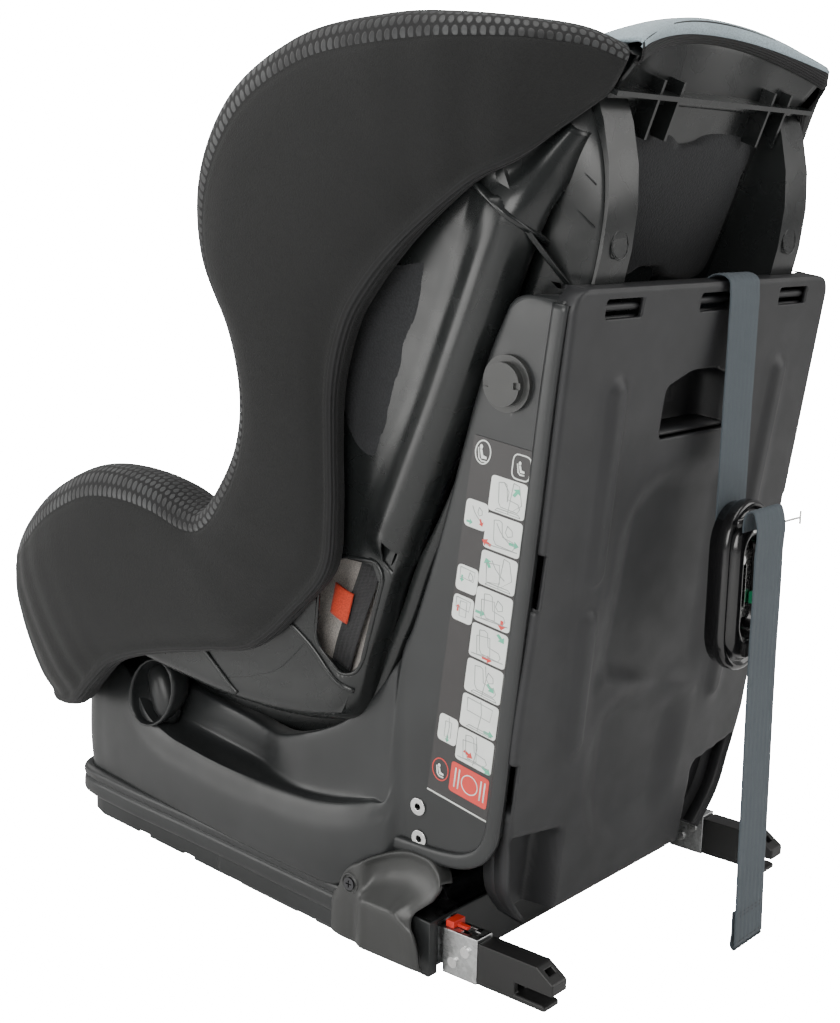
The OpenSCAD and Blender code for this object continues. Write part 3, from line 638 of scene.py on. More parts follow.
# Stations from the rear top corner, down the side and round to the middle of the front edge.
# Each gives the hem, the crest of the padded edge, the inner foot, and how full the outer side is.
COVER_STATIONS = [
    ((119, 267, 556), (120, 281, 575), (104, 262, 566), 2),
    ((140, 252, 538), (136, 268, 584), (112, 256, 562), 4),
    ((160, 238, 521), (164, 240, 590), (118, 246, 552), 6),
    ((171, 216, 509), (184, 205, 592), (118, 240, 537), 8),
    ((178, 184, 484), (193, 160, 592), (118, 232, 516), 10),
    ((182, 160, 461), (194, 90, 582), (118, 222, 492), 13),
    ((184, 145, 443), (195, 38, 552), (118, 215, 470), 14),
    ((185, 133, 425), (195, 12, 508), (118, 207, 448), 14),
    ((185, 124, 400), (195, 13, 457), (118, 195, 417), 14),
    ((184, 119, 375), (194, 37, 412), (118, 182, 386), 13),
    ((183, 118, 340), (194, 48, 371), (120, 168, 350), 11),
    ((182, 118, 300), (194, 44, 334), (122, 155, 315), 10),
    ((181, 113, 264), (193, 27, 304), (126, 138, 268), 10),
    ((181, 90, 237), (193, 8, 282), (130, 104, 228), 10),
    ((181, 52, 204), (193, -8, 281), (132, 60, 196), 11),
    ((181, 6, 191), (193, -40, 292), (133, 10, 186), 12),
    ((180, -37, 181), (193, -75, 297), (133, -35, 184), 13),
    ((178, -75, 170), (192, -112, 293), (133, -75, 190), 14),
    ((175, -105, 157), (190, -155, 273), (132, -112, 198), 14),
    ((170, -135, 133), (182, -195, 244), (128, -146, 206), 13),
    ((162, -164, 110), (166, -226, 222), (118, -172, 211), 13),
    ((148, -202, 100), (144, -246, 211), (106, -188, 214), 12),
    ((124, -232, 99), (114, -252, 207), (92, -194, 216), 9),
    ((92, -242, 104), (80, -253, 206), (66, -197, 218), 7),
    ((66, -246, 124), (50, -253, 205), (40, -199, 219), 5),
    ((40, -247, 147), (22, -253, 205), (18, -200, 219), 4),
    ((0, -247, 149), (0, -253, 205), (0, -200, 219), 4),
]
COVER_CENTRE = (0, 60, 330.0)


def cover_sections():
    """Rows of control points, hem first, over the padded edge and down the inner side."""
    hem, crest, foot = (np.array([s[k] for s in COVER_STATIONS], float) for k in range(3))
    fullness = np.array([s[3] for s in COVER_STATIONS], float)[:, None]
    path = (hem + crest) / 2
    travel = np.gradient(path, axis=0)
    travel /= np.linalg.norm(travel, axis=1)[:, None]
    reach = crest - hem
    span = np.linalg.norm(reach, axis=1)[:, None]
    up = reach / span
    out = np.cross(travel, up)
    out /= np.linalg.norm(out, axis=1)[:, None]
    out *= np.sign(np.sum(out * (path - COVER_CENTRE), axis=1))[:, None]
    thick = np.clip(span * 0.55, 14, 42)
    outer = [(-0.02, -9.0), (-0.03, -2.5), (0.0, 0.3), (0.05, 0.30), (0.2, 0.75), (0.45, 1.0), (0.7, 0.95),
             (0.85, 0.62)]
    rows = []
    for k, (along, side) in enumerate(outer):
        push = side if k < 2 else side * fullness
        rows.append(hem + up * span * along + out * push)
    rows.append(crest - up * 0.07 * span + out * 0.30 * fullness)
    rows.append(crest - out * 0.10 * thick)
    rows.append(crest + up * 0.05 * thick - out * 0.42 * thick)
    rows.append(crest - up * 0.06 * thick - out * 0.76 * thick)
    inner = crest - up * 0.30 * thick - out * 1.0 * thick
    rows.append(inner)
    for share, swell in ((0.3, 5.0), (0.62, 5.0), (0.88, 1.5)):
        rows.append(inner + (foot - inner) * share - out * swell)
    rows.append(foot)
    return np.stack(rows, axis=1), out


def cover_surface():
    """The dense cover surface of the left half, the place across it of each column, and its outward directions."""
    control, out = cover_sections()
    knots = lengths(control[:, 5])
    at = np.linspace(0, knots[-1], COVER_LONG)
    across = np.linspace(0, control.shape[1] - 1, COVER_ACROSS)
    rows = refined(resampled(knots, control, at), across)
    return rows, across, hermite(knots, out, at)


def wrinkle(rows, dense, out):
    """Soft folds where the cover is pulled over the rear top corner and round the waist."""
    share = np.linspace(0, 1, len(rows))[:, None]
    across = dense[None, :]
    outer = smoothstep(1.8, 3.2, across) * (1 - smoothstep(7.0, 8.6, across))
    corner = bump_at(share, 0.09, 0.055) * np.sin(share * 150 + across * 0.7) * 0.8
    pull = bump_at(share, 0.16, 0.05) * np.sin(share * 110 - across * 1.3) * 0.6
    nose = bump_at(share, 0.80, 0.07) * np.sin(share * 210 + across * 1.1) * 0.8
    waist = bump_at(share, 0.47, 0.05) * np.sin(share * 150 - across * 0.7) * 0.6
    soft = np.sin(share * 19 + across * 0.8) * 0.35
    rows += out[:, None] * (outer * (corner + pull + nose + waist + soft))[:, :, None]
    seam = bump_at(across, SEAM_OUT, 0.13) * 1.3 + bump_at(across, SEAM_IN, 0.13) * 1.3
    toward = rows.mean(axis=1, keepdims=True) - rows
    toward /= np.maximum(np.linalg.norm(toward, axis=2, keepdims=True), 1e-6)
    rows += toward * seam[:, :, None] * np.ones_like(rows)
    return rows


COVER_LONG, COVER_ACROSS = 230, 84
SEAM_OUT, SEAM_IN = 7.4, 12.0
cover_rows, cover_across, cover_out = cover_surface()
cover_rows = wrinkle(cover_rows, cover_across, cover_out)
full_rows = np.concatenate([cover_rows[:-1], mirrored(cover_rows)[::-1]])


def cover_line(place, lift=0.0):
    """The line along the whole cover at a place across it, raised off the surface."""
    k = int(round(place / cover_across[-1] * (len(cover_across) - 1)))
    line = full_rows[:, k]
    ahead, behind = full_rows[:, min(k + 1, full_rows.shape[1] - 1)], full_rows[:, max(k - 1, 0)]
    normal = np.cross(np.gradient(line, axis=0), ahead - behind)
    normal /= np.linalg.norm(normal, axis=1)[:, None]
    inward = full_rows.mean(axis=1) - line
    normal *= -np.sign(np.sum(normal * inward, axis=1))[:, None]
    return line + normal * lift, normal


cover = loft("seat_cover", full_rows)
wear(cover, "cover_fabric", "insert_fabric", "pad_fabric")
per_row = len(cover_across) - 1
for poly in cover.data.polygons:
    place = cover_across[poly.index % per_row]
    poly.material_index = 1 if SEAM_OUT <= place < SEAM_IN else (2 if place >= SEAM_IN else 0)
thicken(cover, 2.0)
# The harness adjuster's button comes up through an opening in the front edge
cut(cover, prism("cutter", rectangle(23, 22, 4, (0, -217)), 196, 236, axis=2))
finish_piece(cover, "seat", replaces=("cover_left", "cover_right", "cover_front"))

HEM_PROFILE = ((1.0, 0.0), (1.15, 1.3), (1.5, 1.5), (1.9, 1.6), (2.2, 1.4), (2.35, 0.1))
hem = loft("cover_hem", np.stack([cover_line(place, lift)[0] for place, lift in HEM_PROFILE], axis=1))
finish_piece(thicken(hem, 0.8), "seat", "binding")

hem_seam = stitches("cover_hem_stitches", *cover_line(2.5, 0.15), pitch=3.2, length=2.2, radius=0.32)
finish_piece(hem_seam, "seat", "pale_thread")
for name, place, gap in (("cover_edge_stitches", 7.85, 0), ("cover_inner_stitches", 12.5, 13)):
    line, normal = cover_line(place, 0.1)
    line, normal = line[6:-6], normal[6:-6]
    halves = [stitches(name, line[part], normal[part], pitch=3.4, length=2.4, radius=0.3)
              for part in (line[:, 0] > gap, line[:, 0] < -gap)]
    finish_piece(join(name, *halves), "seat", "thread")


# ---- Pale panel over the top of the headrest, with its ribbed rear binding ----

BACK_LEAN = math.radians(20.4)
BACK_LINE = (103.5, 150.0)


def on_back(x, out, up):
    """A point in the frame of the seat back: x across, out towards the child, up along the back."""
    y, z = BACK_LINE
    return np.stack(np.broadcast_arrays(x, y - out * math.cos(BACK_LEAN) + up * math.sin(BACK_LEAN),
                                        z + out * math.sin(BACK_LEAN) + up * math.cos(BACK_LEAN)), axis=-1)


# The panel's rear edge is an arch
HEAD_HALF, HEAD_Y, HEAD_Z = 113, 284, 582
head_x = np.linspace(-HEAD_HALF, HEAD_HALF, 61)
arch = 1 - (np.abs(head_x) / HEAD_HALF) ** 2.1
head_y, head_z = HEAD_Y - 17 * arch, HEAD_Z + 20 * arch
# Steps forward over the headrest, and the height of each where the arch is highest
PANEL_STEPS = [(0, -7), (-1.5, -3.5), (0, 0), (6, 0.8), (16, 0.8), (32, -1.5), (48, -6), (62, -14), (72, -25),
               (78, -40), (80, -58)]
BINDING_STEPS = [(-1.0, -0.5), (2.0, -0.8), (2.8, 2.0), (2.5, 5.0), (1.8, 9.0), (-1.5, 12.5), (-4.0, 11.0)]


def head_sheet(name, rows, count, thick):
    """A sheet through rows that run across the headrest, smoothed from front to back."""
    across = np.array(rows).transpose(1, 0, 2)
    return sheet(name, [curve(row, count) for row in across], thick)


def headrest():
    """The pale panel, the binding behind it and the shell's edge under that."""
    rows = [np.stack([head_x * (1 - 0.0016 * forward), head_y - forward, head_z + lift * (0.35 + 0.65 * arch)], axis=1)
            for forward, lift in PANEL_STEPS]
    finish_piece(head_sheet("headrest_top", rows, 46, 2.2), "seat", "light_fabric", replaces=("head_top_panel",))
    rows = [np.stack([head_x, head_y + back, head_z - drop], axis=1) for back, drop in BINDING_STEPS]
    finish_piece(head_sheet("headrest_binding", rows, 24, 1.2), "seat", "binding")
    x, y, z = head_x * 0.985, head_y - 3.5, head_z - 7
    rows = [np.stack([x, y * (1 - k) + 258.5 * k, z * (1 - k) + 552 * k], axis=1) for k in np.linspace(0, 1, 12)]
    rows.insert(0, rows[0] + [0, -9, 1.5])
    finish_piece(sheet("head_plate", rows, 2.5), "seat", "shell_plastic")


headrest()


# ---- Base moulding: side humps, front beam and the two uprights ----

def upright_x(z):
    """Outer face of an upright at height z."""
    return 146 + (z - 111) * 0.0299


# Outline of the moulding in plan from the middle of the front to the rear end of the hump: place, bottom, shoulder
# and crest heights, and the inset and top height of the inner wall behind the crest.
HUMP_STATIONS = [
    ((0, -205), 38.3, 62, 70, 12, 73), ((56, -206), 38.3, 63, 71, 12, 75), ((80, -206.5), 38.3, 78, 90, 15, 95),
    ((98, -206.5), 38.3, 92, 108, 18, 114), ((115.5, -201.5), 38.3, 103, 121, 20, 127),
    ((127, -190), 38.3, 110, 129, 20, 136), ((132.5, -168), 38.3, 114, 133, 20, 140),
    ((136, -142), 38.3, 110, 130, 20, 139), ((139, -118), 38.3, 90, 104, 24, 130),
    ((142, -90), 38.3, 80, 93, 28, 123), ((145.5, -60), 38.3, 78, 90, 30, 120),
    ((149, -30), 38.3, 77, 88.5, 30, 118), ((152.5, 0), 38.3, 77, 88.5, 27, 117),
    ((155.8, 30), 38.3, 79, 89.5, 18, 122), ((158, 57), 38.3, 80, 91, 13, 131),
    ((159.5, 80), 38.3, 82, 93, 12.8, 140), ((159.8, 98), 38.3, 85, 96, 12.2, 149),
    ((158.5, 115), 44, 89, 100, 10.6, 161), ((155.5, 130), 54, 94, 104, 7.4, 175),
    ((151.5, 142), 64, 99, 109, 3.2, 192),
]
# Profile of an upright: place from front to rear, lowest and highest point
UPRIGHT_EDGE = [
    (150, 74, 210), (158, 74, 227), (169, 74, 256), (180, 74, 288), (190, 75, 321), (201, 78, 358), (210, 82, 386),
    (220, 90, 411), (227, 99, 425), (231, 107, 433), (236, 147, 438), (243, 204, 441), (252, 276, 442),
    (262, 356, 442), (270, 422, 441),
]


def hump_section(place, low, shoulder, crest, inset, top, out):
    rise, climb = shoulder - low, top - crest
    steps = [(low, 0), (low + 0.35 * rise, -1.8), (low + 0.75 * rise, -1.4), (shoulder, 0.6),
             (crest - 2.2, min(3.4, 0.5 * inset)), (crest, min(7, 0.75 * inset)), (crest + 0.05 * climb, 0.88 * inset),
             (crest + 0.3 * climb, inset), (top - 4, inset + 0.4), (top, inset + 4), (top - 1, inset + 16)]
    return [(place[0] - out[0] * along, place[1] - out[1] * along, z) for z, along in steps]


def upright_section(y, low, top):
    tall = top - low
    steps = [(low + share * tall, 0) for share in (0, 0.1, 0.2, 0.3, 0.4, 0.5, 0.7)]
    steps += [(top - min(6, 0.1 * tall), 0.4), (top - 1, 4), (top, 9), (top - 0.5, 26)]
    return [(upright_x(z) - inset, y, z) for z, inset in steps]


def base_rows():
    """The left half of the moulding, as dense rows from the middle of the front to the top of the upright."""
    out = sideways([s[0] for s in HUMP_STATIONS])
    rows = np.array([hump_section(*s, o) for s, o in zip(HUMP_STATIONS, out)]
                    + [upright_section(*s) for s in UPRIGHT_EDGE])
    knots = lengths(rows[:, 0] * [1, 1, 0])
    return refined(resampled(knots, rows, np.linspace(0, knots[-1], 210)), 71)


def stretched_ball(name, centre, radii, turn=0.0, count=20, first=1):
    """An egg-shaped cutter, or the cup that is left of it past the first rings."""
    polar = math.pi * np.arange(first, count) / count
    rows = np.array([np.insert(circle(math.sin(p), count), 0, math.cos(p), axis=1) for p in polar]) * radii
    c, s = math.cos(turn), math.sin(turn)
    rows = rows @ np.array([[1, 0, 0], [0, c, s], [0, -s, c]])
    return fix_normals(loft(name, rows + np.array(centre, float), close_across=True, caps=first == 1))


half_base = base_rows()
full_base = np.concatenate([mirrored(half_base)[::-1], half_base[1:]])
base = sheet("base_moulding", full_base, 2.6)
cutters, cups = [], []
for side in (1, -1):
    hollow = ((side * 137, -104, 122), (side * 27, 31, 22), 0.95)
    cutters.append(stretched_ball("cutter", *hollow))
    cups.append(thicken(stretched_ball("cup", *hollow, first=9), 1.4))
    for y, z in ((165, 108), (166, 86)):
        cutters.append(tube("cutter", [(side * 138, y, z), (side * 152, y, z)], 3.6))
    cutters.append(tube("cutter", [(side * 140, 232, 390), (side * 160, 232, 390)], 7.3, count=24))
cut(base, *cutters)
base.data.shade_smooth()
base = join("base_moulding", base, *cups)
finish_piece(base, "base", "base_plastic", replaces=("base_shell",))

# Rings of the lug in the hump: height, width and lean
LUG_RINGS = ((-22, 0.6, 6), (-14, 1.0, 4), (0, 1.05, 0), (12, 0.92, -4), (18, 0.65, -6), (21, 0.2, -6))
BAND_PATH = [(268, 438), (262, 398), (252, 318), (242, 238), (232, 155), (227, 116), (224, 101), (216, 89), (204, 82),
             (188, 79), (160, 78), (120, 78)]
BAND_SECTION = [(-5.5, -1), (-5.2, 1.6), (-4.2, 2.6), (-2, 3.0), (2, 3.0), (4.2, 2.6), (5.2, 1.6), (5.5, -1)]


def base_details(suffix, side):
    """The lug in the hump's hollow, and the raised band round an upright's rear and lower edge."""
    turns = np.linspace(0, 2 * math.pi, 17)[:-1]
    lug = loft("lug", side([[(124 + 9 * math.cos(t) * w, -108 + 12 * math.sin(t) * w + lean, 118 + up) for t in turns]
                            for up, w, lean in LUG_RINGS]), close_across=True, caps=True)
    line = curve([(upright_x(z) + 0.2, y, z) for y, z in BAND_PATH], 120)
    band = sweep("band", side(line), BAND_SECTION, side(np.array([1, 0, 0])))
    finish_piece(join("base_bands_" + suffix, fix_normals(lug), band), "base", "base_plastic")


both_sides(base_details)

# Rolled rim of the tray, from one corner cover round the front to the other, and the skirt below it
RIM_PLAN = [(0, -203), (60, -203.2), (100, -203.2), (116, -201.5), (125, -195), (129, -183), (132.4, -155), (140, -45),
            (148, 57), (152.6, 118)]
RIM_SECTION = [(-1, 38.6), (2.6, 38.4), (4.8, 37), (5.2, 34.5), (4.6, 32.2), (3.4, 31), (3.4, 30), (4.6, 28.6),
               (5.0, 25), (4.9, 20.5), (4.0, 18.4), (2.2, 17.6), (0.6, 17.4)]
SKIRT_SECTION = [(0.5, 19), (0.9, 17), (0.9, 12), (0.8, 6), (0.4, 3.4), (-0.4, 2.6)]


def tray_rim():
    plan = curve(RIM_PLAN, 150)
    out = sideways(plan)
    parts = []
    for section, first in ((RIM_SECTION, 0), (SKIRT_SECTION, 100)):
        half = np.stack([np.column_stack([plan + out * reach, np.full(len(plan), z)]) for reach, z in section], axis=1)
        half = np.array([curve(row, 30) for row in half[first:]])
        if first:
            parts += [sheet("skirt", rows, 1.2) for rows in (half, mirrored(half))]
        else:
            parts.append(sheet("rim", np.concatenate([mirrored(half)[::-1], half[1:]]), 1.2))
    return finish_piece(join("tray_rim", *parts), "base", "base_plastic")


tray_rim()


# ---- Rear panel: a pressed sheet with ribs, a storage opening and clip slots ----

PANEL_FOOT = (227.0, 34.0)
PANEL_LEAN = math.radians(7.06)
PANEL_LEN, PANEL_CORNER = 415.0, 14.0


def on_panel(x, out, up):
    """A point in the frame of the rear panel: x across, out to the rear, up along the slope."""
    y, z = PANEL_FOOT
    return np.stack(np.broadcast_arrays(x, y + out * math.cos(PANEL_LEAN) + up * math.sin(PANEL_LEAN),
                                        z - out * math.sin(PANEL_LEAN) + up * math.cos(PANEL_LEAN)), axis=-1)


def panel_half(up):
    """Half width of the panel at a height along its slope."""
    low = profile([(0, 110), (20, 127), (56, 137.5), (78, 142.5), (240, 149), (415, 156)], up)
    over = np.clip(up - (PANEL_LEN - PANEL_CORNER), 0, PANEL_CORNER)
    return low - PANEL_CORNER + np.sqrt(PANEL_CORNER ** 2 - over ** 2)


def capsule(x, up, a, b, radius, soft):
    """1 inside a rounded bar between two points of the panel, fading over soft."""
    a, b = np.array(a, float), np.array(b, float)
    d = b - a
    t = np.clip(((x - a[0]) * d[0] + (up - a[1]) * d[1]) / (d @ d), 0, 1)
    away = np.hypot(x - a[0] - t * d[0], up - a[1] - t * d[1])
    return 1 - smoothstep(radius - soft / 2, radius + soft / 2, away)


def inside(x, up, corners, soft):
    """1 inside a convex outline, fading to 0 over soft at its edges."""
    share = np.ones_like(x)
    for (x0, u0), (x1, u1) in zip(corners, corners[1:] + corners[:1]):
        nx, nu = u0 - u1, x1 - x0
        away = ((x - x0) * nx + (up - u0) * nu) / math.hypot(nx, nu)
        share = share * smoothstep(-soft / 2, soft / 2, away)
    return share


def panel_relief(x, up):
    """How far the panel stands out from its plane."""
    deep = np.zeros_like(x)
    for side in (1, -1):
        deep += 3.6 * capsule(x, up, (side * 99, 352), (side * 93, 238), 7, 8)
        deep += 3.2 * capsule(x, up, (side * 92, 205), (side * 87, 122), 7, 8)
        deep += 1.6 * capsule(x, up, (side * 99, 352), (side * 87, 122), 13, 16)
    deep -= 6.0 * inside(x, up, [(-58, 286), (-66, 150), (-20, 128), (64, 168), (58, 272), (30, 292)], 26)
    deep -= 7.0 * inside(x, up, [(-50, 116), (-44, 40), (20, 26), (52, 60), (56, 128), (20, 140)], 30)
    deep += 2.2 * capsule(x, up, (-58, 128), (62, 158), 5, 16)
    for side in (1, -1):
        deep -= 20 * inside(x * side, up, [(84, 58), (82, -20), (170, -20), (170, 72)], 9)
    return deep


def rear_panel_piece():
    up = np.concatenate([[0], np.linspace(0.6, PANEL_LEN - PANEL_CORNER, 160),
                         PANEL_LEN - PANEL_CORNER * (1 - np.sin(np.linspace(0.08, 1.5707, 12)))])
    share = np.linspace(-1, 1, 141)
    rows = []
    for u in up:
        half = panel_half(np.array([u]))[0]
        x = share * (half - 2.6)
        left = [(-half, -13.0), (-half, -6.0), (-half, -2.6), (-half + 0.8, -0.8)]
        right = [(-a, d) for a, d in reversed(left)]
        across = np.concatenate([[p[0] for p in left], x, [p[0] for p in right]])
        deep = np.concatenate([[p[1] for p in left], panel_relief(x, np.full_like(x, u)), [p[1] for p in right]])
        top_edge = smoothstep(PANEL_LEN - 2.5, PANEL_LEN, u)
        rows.append(on_panel(across, deep - 1.2 * top_edge, np.full_like(across, u)))
    top = rows[-1]
    rows += [top + on_panel(0, -drop, 0) - on_panel(0, 0, 0) for drop in (4, 9, 14)]
    return sheet("rear_cover", rows, 3.0)


def panel_cutter(x0, x1, u0, u1, radius=3.0, arch=0.0, deep=(-30, 12)):
    """A cutter through the panel, with a flat or an arched top."""
    middle = (x0 + x1) / 2
    if arch:
        outline = rounded([(x0, u0), (x1, u0), (x1, u1 - arch), (middle + 14, u1), (middle - 14, u1), (x0, u1 - arch)],
                          radius)
    else:
        outline = rectangle(x1 - x0, u1 - u0, radius, (middle, (u0 + u1) / 2))
    rows = [on_panel(outline[:, 0], d, outline[:, 1]) for d in deep]
    return fix_normals(loft("cutter", np.array(rows), close_across=True, caps=True))


# Depth and size of the storage pocket's rings
POCKET_STEPS = ((-1.5, 1.0), (-10, 0.99), (-20, 0.95), (-25, 0.86), (-27, 0.70), (-27.5, 0.35), (-27.5, 0.02))
SLOTS = [(-124, -84, 397, 409), (-22, 18, 397, 409), (84, 124, 397, 409)]
rear = rear_panel_piece()
cutters = [panel_cutter(*slot) for slot in SLOTS]
cutters.append(panel_cutter(-43, 43, 317, 360, radius=6, arch=9))
for low, high in ((222, 258), (77, 122)):
    for side in (1, -1):
        half = float(panel_half(np.array([(low + high) / 2]))[0])
        a, b = sorted((side * (half - 3.5), side * (half + 8)))
        cutters.append(panel_cutter(a, b, low, high, radius=2.5))
cut(rear, *cutters)

bars = []
for x0, x1, low, high in SLOTS:
    for up, size in (((low + high) / 2, 2.6), (low - 1.0, 1.8)):
        path = on_panel(np.linspace(x0 - 2, x1 + 2, 12), -6.0, up)
        bars.append(tube("bar", path, size, up=(0, 1, 0), count=12))
outline = rounded([(-46, 314), (46, 314), (46, 352), (14, 363), (-14, 363), (-46, 352)], 7, 6)
pocket_rows = [on_panel(outline[:, 0] * k, d, 338 + (outline[:, 1] - 338) * k) for d, k in POCKET_STEPS]
pocket = sheet("pocket", pocket_rows, 1.6, close_across=True)
shelf = sweep("shelf", on_panel(np.linspace(-42, 42, 10), -14.0, 319.5), [(-11, -1), (11, -1), (11, 1), (-11, 1)],
              up=on_panel(0, 0, 1) - on_panel(0, 0, 0))
rear = join("rear_cover", rear, pocket, shelf, *bars)
finish_piece(rear, "base", "panel_plastic", replaces=("rear_panel",))


# ---- Instruction label on each upright: dark strip with white panels of line pictograms ----

LABEL_CORNERS = [(207.5, 357), (252, 351.5), (221, 112), (172.5, 121.5)]
ROW_STEP, ROW_TALL, FIRST_ROW = 0.0985, 0.092, 0.085
SMALL_PANELS = [(0.02, 0.39, 0.165, 0.238), (0.02, 0.37, 0.342, 0.412), (0.02, 0.36, 0.424, 0.494),
                (0.05, 0.365, 0.762, 0.838)]
GLYPHS = {
    "seat": [(0.22, 0.16), (0.36, 0.12), (0.44, 0.16), (0.50, 0.55), (0.80, 0.60), (0.86, 0.72), (0.80, 0.84),
             (0.34, 0.82), (0.27, 0.70), (0.22, 0.16)],
    "base": [(0.26, 0.88), (0.84, 0.88), (0.90, 0.95), (0.20, 0.95), (0.26, 0.88)],
    "panel": [(0.16, 0.34), (0.52, 0.28), (0.58, 0.80), (0.22, 0.88), (0.16, 0.34)],
    "car_seat": [(0.62, 0.06), (0.78, 0.10), (0.90, 0.60), (0.55, 0.95), (0.62, 0.06)],
    "belt": [(0.30, 0.22), (0.42, 0.42), (0.56, 0.56), (0.70, 0.66)],
    "hand": [(0.60, 0.20), (0.74, 0.30), (0.76, 0.44), (0.64, 0.50), (0.56, 0.40), (0.60, 0.20)],
    "shoulder": [(0.36, 0.12), (0.52, 0.34), (0.50, 0.62)],
    "strap": [(0.50, 0.05), (0.56, 0.40), (0.50, 0.95)],
    "frame": [(0.14, 0.10), (0.84, 0.14), (0.80, 0.52), (0.16, 0.48), (0.14, 0.10)],
    "floor": [(0.06, 0.90), (0.94, 0.84)],
    "buckle": [(0.34, 0.22), (0.66, 0.20), (0.68, 0.78), (0.36, 0.80), (0.34, 0.22)],
}
ARROW = [(-0.16, -0.05), (0.02, -0.05), (0.02, -0.14), (0.18, 0), (0.02, 0.14), (0.02, 0.05), (-0.16, 0.05)]
# What each panel shows: outlines, then arrows as (colour, place across, place down, turn in degrees)
LARGE_DRAWINGS = [
    (("seat", "base", "shoulder", "car_seat"), (("green", 0.72, 0.30, -60),)),
    (("seat", "belt", "hand", "floor"), (("green", 0.82, 0.66, 0), ("red", 0.10, 0.86, 200))),
    (("car_seat", "panel", "belt", "base"), (("green", 0.20, 0.34, 240),)),
    (("panel", "seat", "hand", "floor"), (("red", 0.78, 0.84, 90), ("green", 0.16, 0.74, 0))),
    (("seat", "panel", "floor"), (("green", 0.80, 0.16, 45), ("red", 0.50, 0.90, 0))),
    (("seat", "strap", "base", "hand"), (("green", 0.70, 0.62, 40),)),
    (("frame", "strap", "base"), (("green", 0.80, 0.88, 0),)),
    (("seat", "strap", "panel", "floor"), (("red", 0.34, 0.70, 25), ("green", 0.86, 0.90, 30))),
]
SMALL_DRAWINGS = [(("hand", "belt"), (("green", 0.24, 0.82, 0), ("red", 0.76, 0.72, 60))),
                  (("frame", "hand"), (("green", 0.26, 0.52, 90),)), (("frame", "buckle"), (("red", 0.26, 0.52, -90),)),
                  (("buckle", "strap"), (("green", 0.52, 0.84, 90),))]


def on_label(points, lift):
    """Label coordinates (0 to 1 across and down) to the upright's outer face, lifted off it."""
    s, t = np.asarray(points, float).T
    a, b, c, d = (np.array(p, float) for p in LABEL_CORNERS)
    s, t = s[:, None], t[:, None]
    flat = (1 - t) * ((1 - s) * a + s * b) + t * ((1 - s) * d + s * c)
    return np.stack([upright_x(flat[:, 1]) + 0.05 + lift, flat[:, 0], flat[:, 1]], axis=1)


def patch(side, points, lift, colour, thick=0.12):
    """A flat coloured area on the label."""
    rows = [side(on_label(points, lift - thick)), side(on_label(points, lift))]
    piece = fix_normals(loft("patch", np.array(rows), close_across=True, caps=True))
    return wear(faceted(piece), colour)


def ink(side, points, width, lift, colour):
    """A printed line on the label."""
    path = side(on_label(points, lift))
    section = [(-width / 2, -0.05), (width / 2, -0.05), (width / 2, 0.05), (-width / 2, 0.05)]
    return wear(sweep("ink", path, section, side(ACROSS)), colour)


def boxed(s0, s1, t0, t1, points):
    """Moves points of a unit square into a box of the label."""
    return [(s0 + (s1 - s0) * x, t0 + (t1 - t0) * y) for x, y in points]


def label_box(s0, s1, t0, t1, corner=0.16):
    return boxed(s0, s1, t0, t1, rounded([(0, 0), (1, 0), (1, 1), (0, 1)], corner, 4))


def drawing(side, box, content):
    """The line pictogram of one panel: its outlines and its coloured arrows."""
    outlines, arrows = content
    parts = [ink(side, boxed(*box, GLYPHS[name]), 0.45, 0.80, "label_grey") for name in outlines]
    for colour, x, y, turn in arrows:
        c, s = math.cos(math.radians(turn)), math.sin(math.radians(turn))
        shape = [(x + 0.8 * (c * a - s * b), y + 0.8 * (s * a + c * b)) for a, b in ARROW]
        parts.append(patch(side, boxed(*box, shape), 0.82, "label_" + colour))
    return parts


def child_icon(side, box, colour):
    """A generic reclined child: head, body and a seat line."""
    head = boxed(*box, ring_points(0.36, 0.30, 0.10, 0.10, 12)[:-1])
    body = boxed(*box, [(0.30, 0.42), (0.44, 0.40), (0.54, 0.62), (0.76, 0.64), (0.78, 0.74), (0.44, 0.76)])
    line = boxed(*box, [(0.18, 0.34), (0.30, 0.76), (0.46, 0.86), (0.80, 0.84)])
    return [patch(side, head, 0.80, colour), patch(side, body, 0.80, colour), ink(side, line, 1.0, 0.78, colour)]


